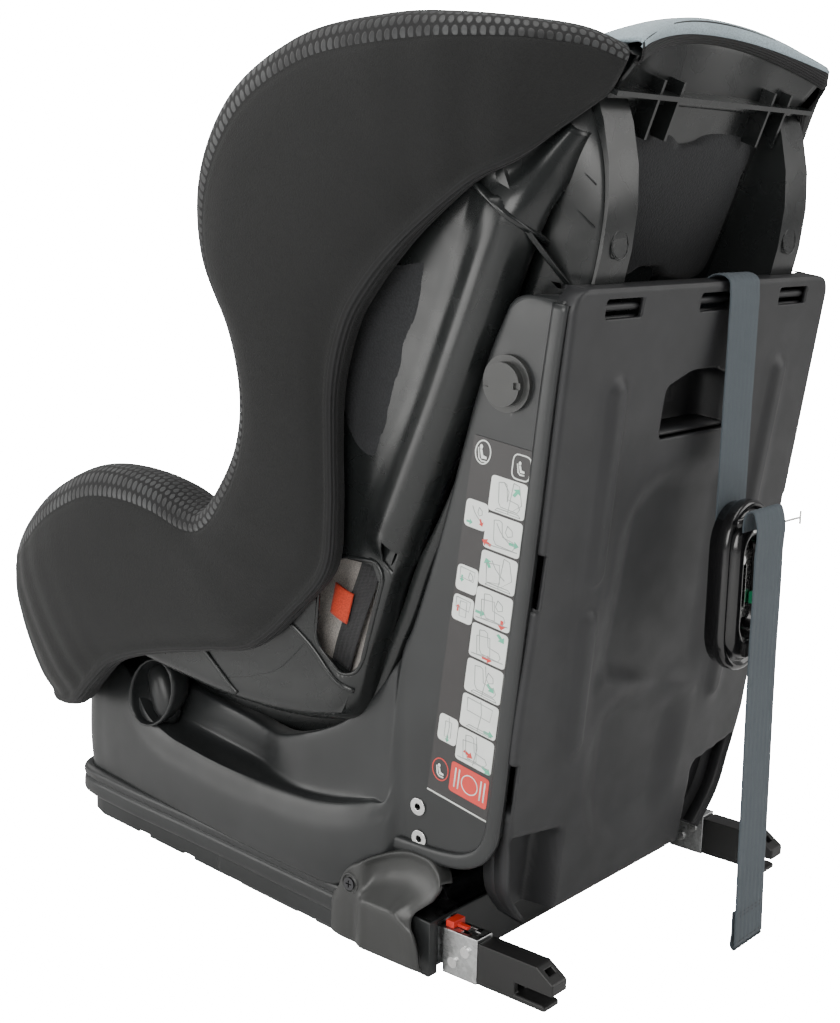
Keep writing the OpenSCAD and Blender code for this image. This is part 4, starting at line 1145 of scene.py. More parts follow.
def instruction_label(suffix, side):
    parts = [patch(side, label_box(0, 1, 0, 1, 0.02), 0.55, "label", thick=0.5)]
    for k, content in enumerate(LARGE_DRAWINGS):
        top = FIRST_ROW + k * ROW_STEP
        box = (0.375, 0.965, top, top + ROW_TALL)
        parts += [patch(side, label_box(*box, 0.11), 0.70, "label_white")] + drawing(side, box, content)
    for box, content in zip(SMALL_PANELS, SMALL_DRAWINGS):
        parts += [patch(side, label_box(*box, 0.2), 0.72, "label_white")] + drawing(side, box, content)
    parts.append(ink(side, ring_points(0.18, 0.038, 0.125, 0.030), 0.9, 0.62, "label_white"))
    parts += child_icon(side, (0.05, 0.31, 0.006, 0.070), "label_white")
    frame_line = label_box(0.68, 0.97, 0.016, 0.078, 0.3)
    parts.append(ink(side, frame_line + frame_line[:2], 0.9, 0.62, "label_white"))
    parts += child_icon(side, (0.72, 0.93, 0.022, 0.072), "label_white")
    parts.append(patch(side, label_box(0.34, 0.96, 0.878, 0.964, 0.10), 0.70, "label_red"))
    parts.append(ink(side, ring_points(0.66, 0.921, 0.13, 0.026), 0.7, 0.78, "label_white"))
    for s in (0.42, 0.48, 0.84, 0.90):
        parts.append(ink(side, [(s, 0.892), (s, 0.948)], 1.1, 0.78, "label_white"))
    parts.append(ink(side, ring_points(0.17, 0.921, 0.13, 0.031), 0.8, 0.62, "label_red"))
    parts += child_icon(side, (0.07, 0.28, 0.895, 0.948), "label_white")
    parts.append(ink(side, [(0.0, 0.994), (1.0, 0.994)], 1.1, 0.62, "label_white"))
    piece = join("instruction_label_" + suffix, *parts)
    return finish_piece(piece, "base", replaces=("instruction_labels",))


both_sides(instruction_label)


# ---- Top tether: strap over the panel, oval adjuster and folded tail ----

TETHER_X, ADJUSTER_Z = -28.0, 248.0


def flat_path(x, points, count):
    """A smooth path in the plane x, through (y, z) points."""
    return np.insert(curve(points, count), 0, x, axis=1)


TETHER_RUN = [(260.6, 404), (261.2, 425), (262.0, 440), (264.6, 447.6), (270, 450.2), (276, 450.0), (280.2, 447.4),
              (281.4, 440), (281.6, 420), (281.3, 360), (281.2, 300), (281.2, 263)]
TAIL_RUN = [(303.4, 288), (303.6, 296), (306, 301.6), (309.8, 302.4), (312.2, 297), (313.2, 270), (313.8, 200),
            (315.6, 110), (317.0, 34), (317.8, 6)]
TETHER_RIBS = dict(ribs=7, rib_depth=0.35)
tether = strap("tether_webbing_strap", flat_path(TETHER_X, TETHER_RUN, 110), 37.5, **TETHER_RIBS)
finish_piece(tether, "base", "tether_webbing", replaces=("tether_strap",))

tail_path = flat_path(TETHER_X + 4, TAIL_RUN, 120)
tail_path[:, 0] += 1.2 * np.sin(np.linspace(0, 2.6, 120)) * np.linspace(0, 1, 120)
tail = strap("tail", tail_path, 37.5, **TETHER_RIBS)
hem_loop = flat_path(TETHER_X + 4, [(317.9, 5.0), (317.0, 3.4), (315.6, 4.6), (315.0, 16), (314.7, 30)], 24)
hem_loop[:, 0] = tail_path[-1, 0]
fold = strap("fold", hem_loop, 37.3, **TETHER_RIBS)
rows_of_thread = []
for z in (26.5, 29.0, 9.0):
    across = np.stack([np.linspace(-44, -4, 20) + 1.0, np.full(20, 318.2 - (z - 6) * 0.031), np.full(20, z)], axis=1)
    across = across[(across[:, 0] > -41.5) & (across[:, 0] < -6.5)]
    rows_of_thread.append(wear(stitches("seam", across, (0, 1, 0), pitch=2.6, length=2.0, radius=0.4), "thread"))
tail = join("tether_tail_strap", wear(tail, "tether_webbing"), wear(fold, "tether_webbing"), *rows_of_thread)
finish_piece(tail, "base", replaces=("tether_tail",))


def oval(half, straight, y):
    """A stadium outline standing upright in the plane y."""
    turn = np.linspace(0, math.pi, 16)
    top = np.stack([half * np.cos(turn), half * np.sin(turn) + straight / 2], axis=1)
    ring = np.concatenate([top, -top])
    return np.stack([TETHER_X + ring[:, 0], np.full(len(ring), y), ADJUSTER_Z + ring[:, 1]], axis=1)


# Rings of the adjuster's housing: inset, straight length and place
ADJUSTER_PROFILE = [
    (3.5, 56, 281.9), (2.5, 56, 282.4), (2.2, 56, 287.5), (0.6, 56, 288.6), (0.0, 56, 290), (0.0, 56, 295.5),
    (0.7, 56, 297.0), (2.4, 56, 297.8), (4.4, 56, 297.0), (5.2, 55, 295.6), (6.0, 54, 295.6), (6.6, 53, 298.5),
    (7.6, 51, 301.2), (9.6, 48, 302.6), (12.2, 44, 302.8), (13.8, 40, 301.6), (14.8, 38, 299.0), (15.2, 36, 290.0),
    (16.5, 35, 288.6), (29.0, 30, 288.2),
]
rings = np.array([oval(29.5 - inset, straight, y) for inset, straight, y in ADJUSTER_PROFILE])
body = fix_normals(loft("body", rings, close_across=True, caps=True))
tongue = prism("tongue", rounded([(-40, 205), (-16, 205), (-18, 214), (-38, 214)], 2, 4), 300.5, 303.4, axis=1)
bridge = tube("bridge", [(-45, 292, 290), (-11, 292, 290)], 2.6, count=14)
roller = tube("roller", [(-44, 299.5, 293.5), (-4, 299.5, 293.5)], 3.0, count=16)
adjuster = join("tether_adjuster_body", body, tongue, bridge, roller)
finish_piece(adjuster, "base", "gloss_black", replaces=("tether_adjuster",))

pin_line = np.stack([np.linspace(TETHER_X + 16, TETHER_X - 44, 24), 308 + 1.6 * np.sin(np.linspace(0, 1.6, 24)),
                     288.5 + 1.4 * np.sin(np.linspace(0, 2.2, 24))], axis=1)
pin = tube("pin", pin_line, 0.9, count=8)
bar = tube("bar", [pin_line[-1] + [0, 0, -4.5], pin_line[-1] + [0, 0, 4.5]], 0.8, up=(0, 1, 0), count=8)
finish_piece(join("price_tag_pin", pin, bar), "base", "white_plastic", replaces=("tag_pin",))


# ---- Shell sides: a skin with a tubular rear rib, a rounded belly and the belt window ----

# Stations from the top of the rear edge, down it and forwards along the belly. Each gives the free edge, the hidden
# inner edge under the cover, the half width there, and the shares of the rib and belly profiles.
SKIN_STATIONS = [
    ((262, 532), (240, 547), 156, 1, 0), ((254, 512), (214, 530), 163, 1, 0), ((247, 489), (190, 508), 171, 1, 0),
    ((237, 462), (165, 487), 168, 1, 0), ((225, 430), (146, 464), 165, 1, 0), ((212, 397), (132, 440), 164.4, 1, 0),
    ((200, 366), (120, 410), 164.4, 1, 0), ((187, 335), (110, 375), 164.4, 1, 0), ((174, 304), (106, 340), 164.4, 1, 0),
    ((165, 283), (104, 315), 164.6, 1, 0), ((161, 272), (103, 304), 165, 0.9, 0), ((157, 264), (102, 297), 166, 0, 0),
    ((151, 248), (98, 285), 168, 0, 0), ((144, 226), (92, 270), 171, 0, 0), ((136, 203), (86, 258), 175, 0, 0),
    ((127, 178), (78, 250), 178, 0, 0.3), ((113, 155), (66, 242), 178, 0, 0.9), ((92, 148), (52, 232), 178, 0, 1),
    ((62, 143.5), (36, 226), 178, 0, 1), ((30, 142), (10, 218), 178, 0, 1), ((0, 142.4), (-16, 212), 177, 0, 1),
    ((-34, 145.2), (-44, 206), 176, 0, 1), ((-70, 151), (-74, 198), 175, 0, 1), ((-104, 159), (-100, 190), 173, 0, 1),
    ((-130, 167), (-114, 192), 171, 0, 1),
]
# How far the skin dives in under the cover at the first stations
TOP_DIVE = [34, 20, 3] + [0] * (len(SKIN_STATIONS) - 3)
SKIN_STEPS = np.array([-6.0, -1.5, 0, 1.0, 2.5, 4.5, 8, 12, 16, 20, 25, 31, 38])
RIB_SHAPE = np.array([140, 143.5, 148, 154, 159.5, 163.8, 166.8, 168.6, 169.2, 168.8, 167.2, 165.2, 164.2])
PLAIN_SHAPE = np.array([142, 146, 151, 157, 162.6, 163.9, 164.2, 164.4, 164.4, 164.4, 164.4, 164.4, 164.4])
BELLY_SHAPE = np.array([107.5, 130, 137, 143, 148.5, 154, 160.5, 164.4, 165.8, 166.0, 165.8, 165.6, 165.4])
SKIN_ACROSS = 64
WINDOW = rounded([(91, 206), (112, 190), (124, 192), (131, 203), (147, 260), (141, 269), (112, 269), (97, 256)], 10, 6)


def skin_rows():
    edge, inner = (np.array([s[k] for s in SKIN_STATIONS], float) for k in (0, 1))
    across = inner - edge
    reach = np.linalg.norm(across, axis=1)
    rows = []
    for e, w, d, dive, (_, _, half, rib, belly) in zip(edge, across / reach[:, None], reach, TOP_DIVE, SKIN_STATIONS):
        plain = (1 - rib) * (1 - belly) * PLAIN_SHAPE + rib * RIB_SHAPE + belly * BELLY_SHAPE
        steps = np.where(SKIN_STEPS < 0, -SKIN_STEPS * (0.3 + 0.2 * belly), SKIN_STEPS * min(1.0, 0.62 * d / 38))
        far = np.linspace(0, 1, 9)[1:]
        places = np.concatenate([steps, steps[-1] + (d - steps[-1]) * far])
        x = np.concatenate([plain, plain[-1] + (half - plain[-1]) * far ** 1.7])
        x -= dive * (1 - smoothstep(14, 30, places))
        rows.append(np.column_stack([x, e + w * places[:, None]]))
    rows = np.array(rows)
    knots = lengths(rows[:, 2])
    at = np.concatenate([np.linspace(0, knots[9], 70)[:-1], np.linspace(knots[9], knots[11], 14)[:-1],
                         np.linspace(knots[11], knots[-1], 90)])
    return refined(resampled(knots, rows, at), SKIN_ACROSS)


shell_rows = skin_rows()
skin_starts = [i * SKIN_ACROSS + j for i in range(len(shell_rows) - 1) for j in range(SKIN_ACROSS - 1)]
skin_tree = BVHTree.FromPolygons([tuple(p) for p in shell_rows.reshape(-1, 3)],
                                 [(k, k + SKIN_ACROSS, k + SKIN_ACROSS + 1, k + 1) for k in skin_starts])


def on_skin(points, lift=0.0):
    """Puts (y, z) points on the left shell side, lifted off it."""
    out = []
    for y, z in points:
        hit = skin_tree.ray_cast(Vector((260, y, z)), Vector((-1, 0, 0)))[0]
        out.append((hit.x + lift if hit else 160.0, y, z))
    return np.array(out)


RIDGES = [[(56, 230), (84, 207), (110, 184), (122, 180)], [(-26, 187), (-8, 173), (7, 162), (16, 155)]]
RIDGE_SECTION = [(-2.2, -1), (-1.4, 1.6), (1.2, 1.9), (2.2, -1)]
PANEL_LINE = [(84, 207), (70, 193), (57, 182), (32, 171), (7, 164)]
# The broad rib behind the belt window: its middle line and width, then its section
RIB_LINE = [(193, 333), (179, 298), (163.5, 266), (152, 235), (139, 206), (124, 171), (119, 163)]
RIB_WIDTH = [3, 8, 11, 11, 11, 15, 16]
RIB_STEPS = ((-0.75, 134), (-0.5, 143), (-0.42, 146.5), (-0.3, 147.6), (0.3, 145.2), (0.42, 144), (0.5, 141),
             (0.5, 130), (0.3, 112))
# Struts under the top of the cover, each with its depth
STRUTS = (([(166, 204, 510), (169.5, 222, 496), (169.5, 235, 487), (162, 241, 481), (140, 241, 473), (121, 236, 467)],
           13),
          ([(158, 241, 480), (146, 244, 468), (132, 250, 452), (122, 254, 442)], 10))


def shell_side(suffix, side):
    skin = sheet("skin", side(shell_rows), 1.1, settled=True)
    cutters = [prism("cutter", WINDOW, 150, 180),
               prism("cutter", [(149, 284), (167, 270), (158, 262), (146, 271)], 163.2, 180)]
    for cutter in cutters:
        if suffix == "right":
            cutter.data.transform(Matrix.Diagonal((-1, 1, 1, 1)))
    skin.data.shade_smooth()
    parts = [cut(skin, *cutters)]
    rim_line = np.concatenate([WINDOW, WINDOW[:3]])
    parts.append(tube("rim", side(on_skin(rim_line, 0.1)), 1.3, up=(1, 0, 0)))
    for ridge in RIDGES:
        parts.append(sweep("ridge", side(on_skin(curve(ridge, 40), -0.2)), RIDGE_SECTION, side(ACROSS)))
    parts.append(tube("line", side(on_skin(curve(PANEL_LINE, 30), 0.05)), 0.35, up=(1, 0, 0), count=6))
    marks = np.linspace(0, 6, 60)
    mid, wide = hermite(np.arange(7), RIB_LINE, marks), hermite(np.arange(7), np.transpose([RIB_WIDTH]), marks)
    off = sideways(mid)
    rows = [np.column_stack([np.full(60, x), mid - off * wide * share]) for share, x in RIB_STEPS]
    parts.append(sheet("flange", side(np.stack(rows, axis=1)), 1.5, settled=True))
    for path, deep in STRUTS:
        section = [(-1.6, -deep), (-1.6, 0.6), (-0.9, 1.3), (0.9, 1.3), (1.6, 0.6), (1.6, -deep)]
        parts.append(sweep("strut", side(curve(path, 40)), section, side(np.array([0.25, 0.75, -0.6]))))
    return finish_piece(join("shell_side_" + suffix, *parts), "seat", "shell_plastic")


both_sides(shell_side)


def belt_window(suffix, side):
    """What shows in the belt window: the speckled lining, the lap strap over it and its red loop tag."""
    rows = []
    for height in np.linspace(182, 284, 44):
        rear = float(np.interp(height, (163, 205, 272, 300), (108, 127, 148, 156)))
        y = np.linspace(68, rear, 34)
        hollow = 5.0 * np.cos((y - 105) / 39 * 1.5) * np.cos((height - 232) / 52 * 1.4)
        rows.append(np.column_stack([149.0 - hollow + 0.3 * np.sin(height * 0.4), y, np.full(34, height)]))
    liner = sheet("window_liner_" + suffix, side(np.array(rows)), 1.4)
    finish_piece(liner, "seat", "liner_fabric", replaces=("belt_liners",))
    path = curve([(151.5, 98, 178), (152.5, 104, 200), (153.0, 114, 228), (152.5, 124, 254), (150.5, 130, 276)], 50)
    lap = strap("lap", side(path), 17, side(ACROSS), ribs=5)
    a, b, c, d = np.array([(94, 226), (109, 221), (115, 242), (99, 247)], float)
    rows = []
    for k in np.linspace(0, 1, 10):
        share = np.linspace(0, 1, 10)[:, None]
        low, high = a + (d - a) * k, b + (c - b) * k
        rows.append(np.column_stack([154.6 + 1.2 * np.sin(share[:, 0] * 2.6) + 0.5 * k, low + (high - low) * share]))
    tag = sheet("belt_tag_" + suffix, side(np.array(rows)), 1.3)
    finish_piece(tag, "seat", "red_fabric", replaces=("strap_tags",))
    return lap


window_straps = both_sides(belt_window)

# Smooth outer faces of the fins, and the round marks on their rear bands
FIN_FRONT = [(249, 548), (239, 513), (232, 488), (232, 471), (226, 455), (218, 430), (208, 405), (200, 385)]
FIN_REAR = [(257, 552), (269, 515), (270.5, 492), (267.5, 466), (260.5, 436), (249, 408), (233, 382), (220, 368)]
FIN_STEPS = ((0, 134.0), (0.25, 131.5), (0.5, 128.6), (0.75, 125.4), (0.93, 122.8), (0.98, 121.8), (1.0, 120.8))
MARK_X, MARK_Y, MARK_Z = 104, 270.9, 470


def fin_face(suffix, side):
    front, rear = curve(FIN_FRONT, 60), curve(FIN_REAR, 60)
    rows = [np.column_stack([np.full(60, x), front + (rear - front) * share]) for share, x in FIN_STEPS]
    face = sheet("face", side(np.stack(rows, axis=1)), 1.2, settled=True)
    line = side([(MARK_X, 268, MARK_Z), (MARK_X, MARK_Y, MARK_Z)])
    mark = faceted(tube("mark", line, 7.5, up=(1, 0, 0), count=28))
    edge = np.insert(ring_points(MARK_X, MARK_Z, 8.6, 8.6, 32), 1, MARK_Y, axis=1)
    ring = tube("ring", side(edge), 0.5, up=(0, 1, 0), count=8)
    seams = [tube("line", side([(131, 238, a), (124.5, 266, a - 26)]), 0.5, up=(1, 0, 0), count=6) for a in (530, 506)]
    return finish_piece(join("fin_face_" + suffix, face, mark, ring, *seams), "seat", "shell_plastic")


both_sides(fin_face)


# ---- Corner covers over the arm housings ----

# Sections from front to rear: place, lower face, shoulder height, top edge place and height, hollow of the upper face
COVER_BLOCK = [
    (103, 160.5, 28, 158.5, 34, 0), (108, 162, 30, 160.5, 38, 0), (114, 163, 32, 161.8, 50, 0),
    (121, 163.4, 33, 162, 58, 0), (128, 164, 35, 162, 62, 0), (131, 165.6, 38, 162, 64, 2),
    (134, 166.8, 40, 160, 66, 6), (142, 167, 41, 155.5, 70, 8), (152, 167, 41, 152.5, 74, 8.5),
    (162, 167, 41, 150.6, 76, 8.5),
    (172, 167, 40, 150, 76, 8), (181, 167, 39, 150, 75, 7), (188, 167, 37, 151, 72, 6), (194, 166.5, 34, 152, 67, 4),
    (197, 165.5, 32, 153, 62, 3),
]
# How far the rear end of the cover draws in at heights up it
BLOCK_WAIST = [(5, 12), (14, 13), (30, 18), (39, 23), (50, 13), (62, 7), (76, 4)]
COVER_LUG = (122, 47)


def corner_cover(suffix, side):
    rows = []
    for y, low_x, shoulder, top_x, top, hollow in COVER_BLOCK:
        steps = [(low_x - 2.5, 5.5), (low_x - 0.6, 6.2), (low_x, 9), (low_x, (9 + shoulder) / 2), (low_x, shoulder - 2)]
        for share in np.linspace(0.06, 1, 8):
            steps.append((low_x + (top_x - low_x) * share - hollow * math.sin(math.pi * share) ** 0.8,
                          shoulder + (top - shoulder) * share))
        steps += [(top_x - 2.5, top + 1.0), (top_x - 7, top + 0.4), (top_x - 14, top - 2)]
        rows.append([(x, y, z) for x, z in steps])
    rows = np.array(rows, float)
    knots = rows[:, 0, 1]
    dense = resampled(knots, rows, np.linspace(knots[0], knots[-1], 70))
    drawn_in = profile(BLOCK_WAIST, dense[:, :, 2].ravel()).reshape(dense.shape[:2])
    dense[:, :, 1] -= drawn_in * smoothstep(150, 197, dense[:, :, 1])
    block = sheet("block", side(refined(dense, 46)), 2.6, settled=True)
    lug = tube("lug", side([(160, *COVER_LUG), (163.2, *COVER_LUG)]), 7.6, count=30)
    rim = tube("rim", side(np.insert(ring_points(*COVER_LUG, 6.6, 6.6, 32), 0, 163.2, axis=1)), 0.7, up=(1, 0, 0),
               count=8)
    return finish_piece(join("corner_cover_" + suffix, block, lug, rim), "base", "cap_plastic",
                        replaces=("corner_covers",))


both_sides(corner_cover)


# ---- Padding inside the cover: simulated cushions with sewn channels and piping ----

def voxel(piece, size_mm):
    """Rebuilds a piece from cubes of a given size, as one closed skin."""
    modifier(piece, "REMESH", mode="VOXEL", voxel_size=size_mm * MM, use_smooth_shade=True)
    return apply_modifiers(piece)


def inflate(piece, pressure, limit_mm):
    """Blows a closed cushion up as cloth, and caps how far any point moves."""
    before = np.array([v.co[:] for v in piece.data.vertices])
    cloth = piece.modifiers.new("Cloth", "CLOTH")
    cloth.settings.quality = 5
    cloth.settings.use_pressure = True
    cloth.settings.uniform_pressure_force = pressure
    cloth.settings.effector_weights.gravity = 0
    cloth.settings.tension_stiffness = 8
    cloth.settings.bending_stiffness = 0.8
    cloth.point_cache.frame_start, cloth.point_cache.frame_end = 1, 20
    for frame_number in range(1, 21):
        bpy.context.scene.frame_set(frame_number)
    apply_modifiers(piece)
    bpy.context.scene.frame_set(1)
    moved = np.array([v.co[:] for v in piece.data.vertices]) - before
    far = np.linalg.norm(moved, axis=1)[:, None]
    put = before + moved * np.minimum(1, limit_mm * MM / np.maximum(far, 1e-9))
    piece.data.vertices.foreach_set("co", put.ravel())
    return piece


def cushion(name, node, voxel_mm, pressure, limit_mm, softness, shape):
    """A cushion from the CAD node's own shape: remeshed, rounded, blown up and pinched along its seams."""
    piece = bpy.data.objects.new(name, NODES[node].data.copy())
    bpy.context.scene.collection.objects.link(piece)
    piece.matrix_world = NODES[node].matrix_world.copy()
    bpy.context.view_layer.update()
    voxel(piece, voxel_mm)
    modifier(piece, "SMOOTH", factor=0.6, iterations=softness)
    apply_modifiers(piece)
    inflate(piece, pressure, limit_mm)
    modifier(piece, "SUBSURF", levels=1, render_levels=1)
    apply_modifiers(piece)
    world = piece.matrix_world
    points = np.array([(world @ v.co)[:] for v in piece.data.vertices]) / MM
    normals = np.array([(world.to_3x3() @ v.normal)[:] for v in piece.data.vertices])
    points = points + normals * shape(points, normals)[:, None]
    piece.data.vertices.foreach_set("co", (points * MM).ravel())
    piece.matrix_world = Matrix.Identity(4)
    piece.data.shade_smooth()
    return piece


def flat_uv(piece, u_axis, v_axis):
    """A UV map in metres, seen along the third axis."""
    layer = piece.data.uv_layers.new(name="UVMap")
    for loop in piece.data.loops:
        at = piece.data.vertices[loop.vertex_index].co
        layer.data[loop.index].uv = (at.dot(Vector(u_axis)), at.dot(Vector(v_axis)))


def tree_of(piece):
    return BVHTree.FromObject(piece, bpy.context.evaluated_depsgraph_get())


def laid_on(tree, points, direction, lift=0.4):
    """Drops points (millimetres) onto a surface along a direction, then lifts them off it."""
    out, last = [], None
    way = Vector(direction).normalized()
    for p in points:
        hit, normal, _, _ = tree.ray_cast(Vector(p) * MM - way * 0.15, way)
        if hit is None:
            hit, normal = (last or (Vector(p) * MM, -way))
        last = (hit, normal)
        out.append(hit / MM - way * lift)
    return np.array(out)


UP_BACK = np.array([0, math.sin(BACK_LEAN), math.cos(BACK_LEAN)])
INTO_BACK = np.array([0, math.cos(BACK_LEAN), -math.sin(BACK_LEAN)])


def back_height(points):
    """How far up the back, in millimetres, each point is."""
    return (points - np.array([0, *BACK_LINE])) @ UP_BACK


def grooves(value, places, width, depth):
    return -depth * sum(bump_at(value, place, width) for place in places)


def creases(points, scale, depth):
    x, y, z = points.T / scale
    return depth * np.sin(1.7 * x + 2.3 * np.sin(0.8 * z + 0.6 * y)) * np.sin(1.3 * z - 1.1 * y + np.sin(0.9 * x))


SEAT_SEAMS, BACK_SEAMS, HEAD_SEAMS = (-150, -96, -40, 14), (72, 128, 184, 240), (344, 388)
SIDE_SEAM = {"seat": 82, "back": 76, "head": 68}


def seat_shape(points, normals):
    inner = 1 - smoothstep(SIDE_SEAM["seat"] - 4, SIDE_SEAM["seat"] + 2, np.abs(points[:, 0]))
    upper = np.clip(normals[:, 2], 0, 1)
    return upper * (inner * grooves(points[:, 1], SEAT_SEAMS, 5, 4.5)
                    + grooves(np.abs(points[:, 0]), (SIDE_SEAM["seat"],), 4.5, 5.0) + creases(points, 17, 0.7))


def back_shape(seams, side):
    def shape(points, normals):
        front = np.clip(-normals @ INTO_BACK, 0, 1)
        inner = 1 - smoothstep(side - 4, side + 2, np.abs(points[:, 0]))
        return front * (inner * grooves(back_height(points), seams, 5, 4.5)
                        + grooves(np.abs(points[:, 0]), (side,), 4.5, 5.0) + creases(points, 17, 0.7))
    return shape


def dress(piece, node, side, seams, direction, cross, along, u_axis, v_axis):
    """Fabric, piping along the side seams and stitches along the channels of a cushion."""
    wear(piece, "pad_fabric", "insert_fabric")
    flat_uv(piece, u_axis, v_axis)
    facing_out = -np.array(direction, float)
    for poly in piece.data.polygons:
        middle = abs(poly.center.x) / MM < side
        poly.material_index = 1 if middle and poly.normal.dot(Vector(facing_out)) > 0.4 else 0
    tree = tree_of(piece)
    parts = []
    for sign in (1, -1):
        line = laid_on(tree, [(sign * side, *p) for p in along], direction, 1.0)
        parts.append(wear(tube("piping", curve(line, 90), 1.9, up=(1, 0, 0.1)), "binding"))
        for shift in (-5.5, 5.5):
            seam = laid_on(tree, [(sign * side + shift, *p) for p in along], direction, 0.2)
            parts.append(seam_thread(curve(seam, 90), facing_out))
    parts += [seam_thread(curve(laid_on(tree, cross(place), direction, 0.25), 40), facing_out) for place in seams]
    finish_piece(piece, "seat", replaces=(node,))
    trim = join(piece.name + "_trim", *parts)
    return finish_piece(trim, "seat")


def seat_top(y):
    """Height of the seat cushion's own top at y."""
    return 600 - math.sqrt(410 ** 2 - (y - 20) ** 2)


seat_pad = cushion("seat_pad", "seat_cushion", 6, 3.5, 9, 6, seat_shape)
dress(seat_pad, "seat_cushion", SIDE_SEAM["seat"], SEAT_SEAMS, (0, 0, -1),
      lambda y: [(x, y, seat_top(y)) for x in np.linspace(-76, 76, 24) if abs(x) > 22 or abs(y + 96) > 8],
      [(y, seat_top(y)) for y in np.linspace(-172, 44, 30)], (1, 0, 0), (0, 1, 0))
for name, node, seams in (("back_pad", "back_cushion", BACK_SEAMS), ("head_pad", "head_cushion", HEAD_SEAMS)):
    side = SIDE_SEAM[name[:4]]
    pad = cushion(name, node, 6, 3.5, 9, 6, back_shape(seams, side))
    low, high = (46, 284) if name == "back_pad" else (308, 424)
    run = [tuple(on_back(0, 32, u)[1:]) for u in np.linspace(low, high, 24)]
    dress(pad, node, side, seams, INTO_BACK,
          lambda u: [tuple(on_back(x, 32, u)) for x in np.linspace(3 - side, side - 3, 24)], run, (1, 0, 0), UP_BACK)


def wing_shape(points, normals):
    inner = np.clip(-normals[:, 0] * np.sign(points[:, 0]), 0, 1)
    return inner * (creases(points, 15, 0.9) + grooves(points[:, 2] - 0.35 * points[:, 1], (388, 440), 5, 3.5))


for suffix, sign in (("left", 1), ("right", -1)):
    pad = cushion("wing_pad_" + suffix, "wing_foam_" + suffix, 6, 3.0, 6, 8, wing_shape)
    wear(pad, "pad_fabric")
    tree = tree_of(pad)
    seams = []
    for place in (388, 440):
        line = [(sign * 100, y, place + 0.35 * y) for y in np.linspace(112, 192 if place == 440 else 168, 24)]
        seams.append(seam_thread(curve(laid_on(tree, line, (sign, 0, 0), 0.25), 40), (-sign, 0, 0)))
    finish_piece(join("wing_pad_" + suffix, pad, *seams), "seat",
                 replaces=("wing_foam_" + suffix,))

LINING_HALF = 128
lining_x = np.linspace(-LINING_HALF, LINING_HALF, 40)
lining_rows = [on_back(lining_x, 2.0 + 3.0 * (np.abs(lining_x) / LINING_HALF) ** 6, up)
               for up in np.linspace(26, 436, 60)]
finish_piece(sheet("back_lining", lining_rows, 1.6), "seat", "pad_fabric")


# ---- Harness ----

PAD_STEPS = 40


def padded(name, path, up, width, thick):
    """A padded sleeve round a strap, closed and rounded at both ends, with puffs between its quilting lines."""
    path = curve(path, PAD_STEPS)
    share = np.linspace(0, 1, PAD_STEPS)
    ends = np.minimum(1, np.sqrt(np.clip(1 - np.clip(1 - share / 0.07, 0, 1) ** 2, 0, 1))
                      * np.sqrt(np.clip(1 - np.clip((share - 0.93) / 0.07, 0, 1) ** 2, 0, 1)) + 0.12)
    puff = 1 - 0.22 * sum(bump_at(share, q, 0.022) for q in (0.27, 0.5, 0.73))
    turn = np.linspace(0, 2 * math.pi, 29)[:-1]
    section = np.stack([np.sign(np.cos(turn)) * np.abs(np.cos(turn)) ** 0.45 * width / 2,
                        -np.sign(np.sin(turn)) * np.abs(np.sin(turn)) ** 0.75 * thick / 2], axis=1)
    _, side, normal = frames_along(path, up if np.ndim(up) == 1 else strap_facing(path))
    rows = (path[:, None] + side[:, None] * section[None, :, :1] * (0.93 + 0.07 * ends)[:, None, None]
            + normal[:, None] * section[None, :, 1:] * (ends * puff)[:, None, None])
    return fix_normals(loft(name, rows, close_across=True, caps=True))


SHOULDER_RUN = [(12, -98, 349), (14, -93, 356), (21, -50, 371), (31, 20, 394), (41, 90, 416), (47, 128, 428)]


def shoulder_harness(suffix, side):
    through = [on_back(49, 33, 290), on_back(50, 12, 288), on_back(50, -2, 287.5), on_back(50, -7, 281),
               on_back(50, -7.5, 262), on_back(50, -7.5, 218)]
    belt = strap("belt", side(curve(np.array([*SHOULDER_RUN, *through]), 190)), 24)
    pad_path = side(curve(np.array([*SHOULDER_RUN, through[0]]), 100)[38:88])
    pad = padded("pad", pad_path, strap_facing(pad_path), 44, 14)
    middle = curve(pad_path, 60)
    _, across, normal = frames_along(middle, strap_facing(middle))
    seams = [seam_thread((middle + across * shift + normal * 3.4)[4:-4], normal[4:-4]) for shift in (-19.0, 19.0)]
    piece = join("shoulder_pad_" + suffix, wear(pad, "pad_fabric"), *seams)
    finish_piece(piece, "seat", replaces=("shoulder_pads",))
    return belt


def lap_harness(suffix, side):
    run = [(11, -98, 343), (15, -92, 334), (34, -74, 318), (62, -34, 286), (88, 14, 250), (106, 50, 226),
           (124, 74, 212)]
    return strap("lap", side(curve(run, 120)), 24)


finish_piece(join("shoulder_belts", *both_sides(shoulder_harness)), "seat", "harness_webbing",
             replaces=("shoulder_straps",))
finish_piece(join("lap_belts", *both_sides(lap_harness), *window_straps), "seat", "harness_webbing",
             replaces=("lap_straps",))

crotch_line = curve([(0, -96.5, 167), (0, -96.3, 190), (0, -96.2, 230), (0, -96.2, 268)], 50)
finish_piece(strap("crotch_belt", crotch_line, 26, (0, -1, 0)), "seat", "harness_webbing", replaces=("crotch_strap",))
pad_line = curve([(0, -96.6, 209), (0, -96.2, 235), (0, -96.4, 263)], 50)
crotch_sleeve = padded("sleeve", pad_line, (0, -1, 0), 46, 13)
crotch_seams = [seam_thread(curve(pad_line[4:-4] + [x, -3.6, 0], 40), (0, -1, 0)) for x in (-19, 19)]
finish_piece(join("crotch_sleeve", wear(crotch_sleeve, "pad_fabric"), *crotch_seams), "seat",
             replaces=("crotch_pad",))

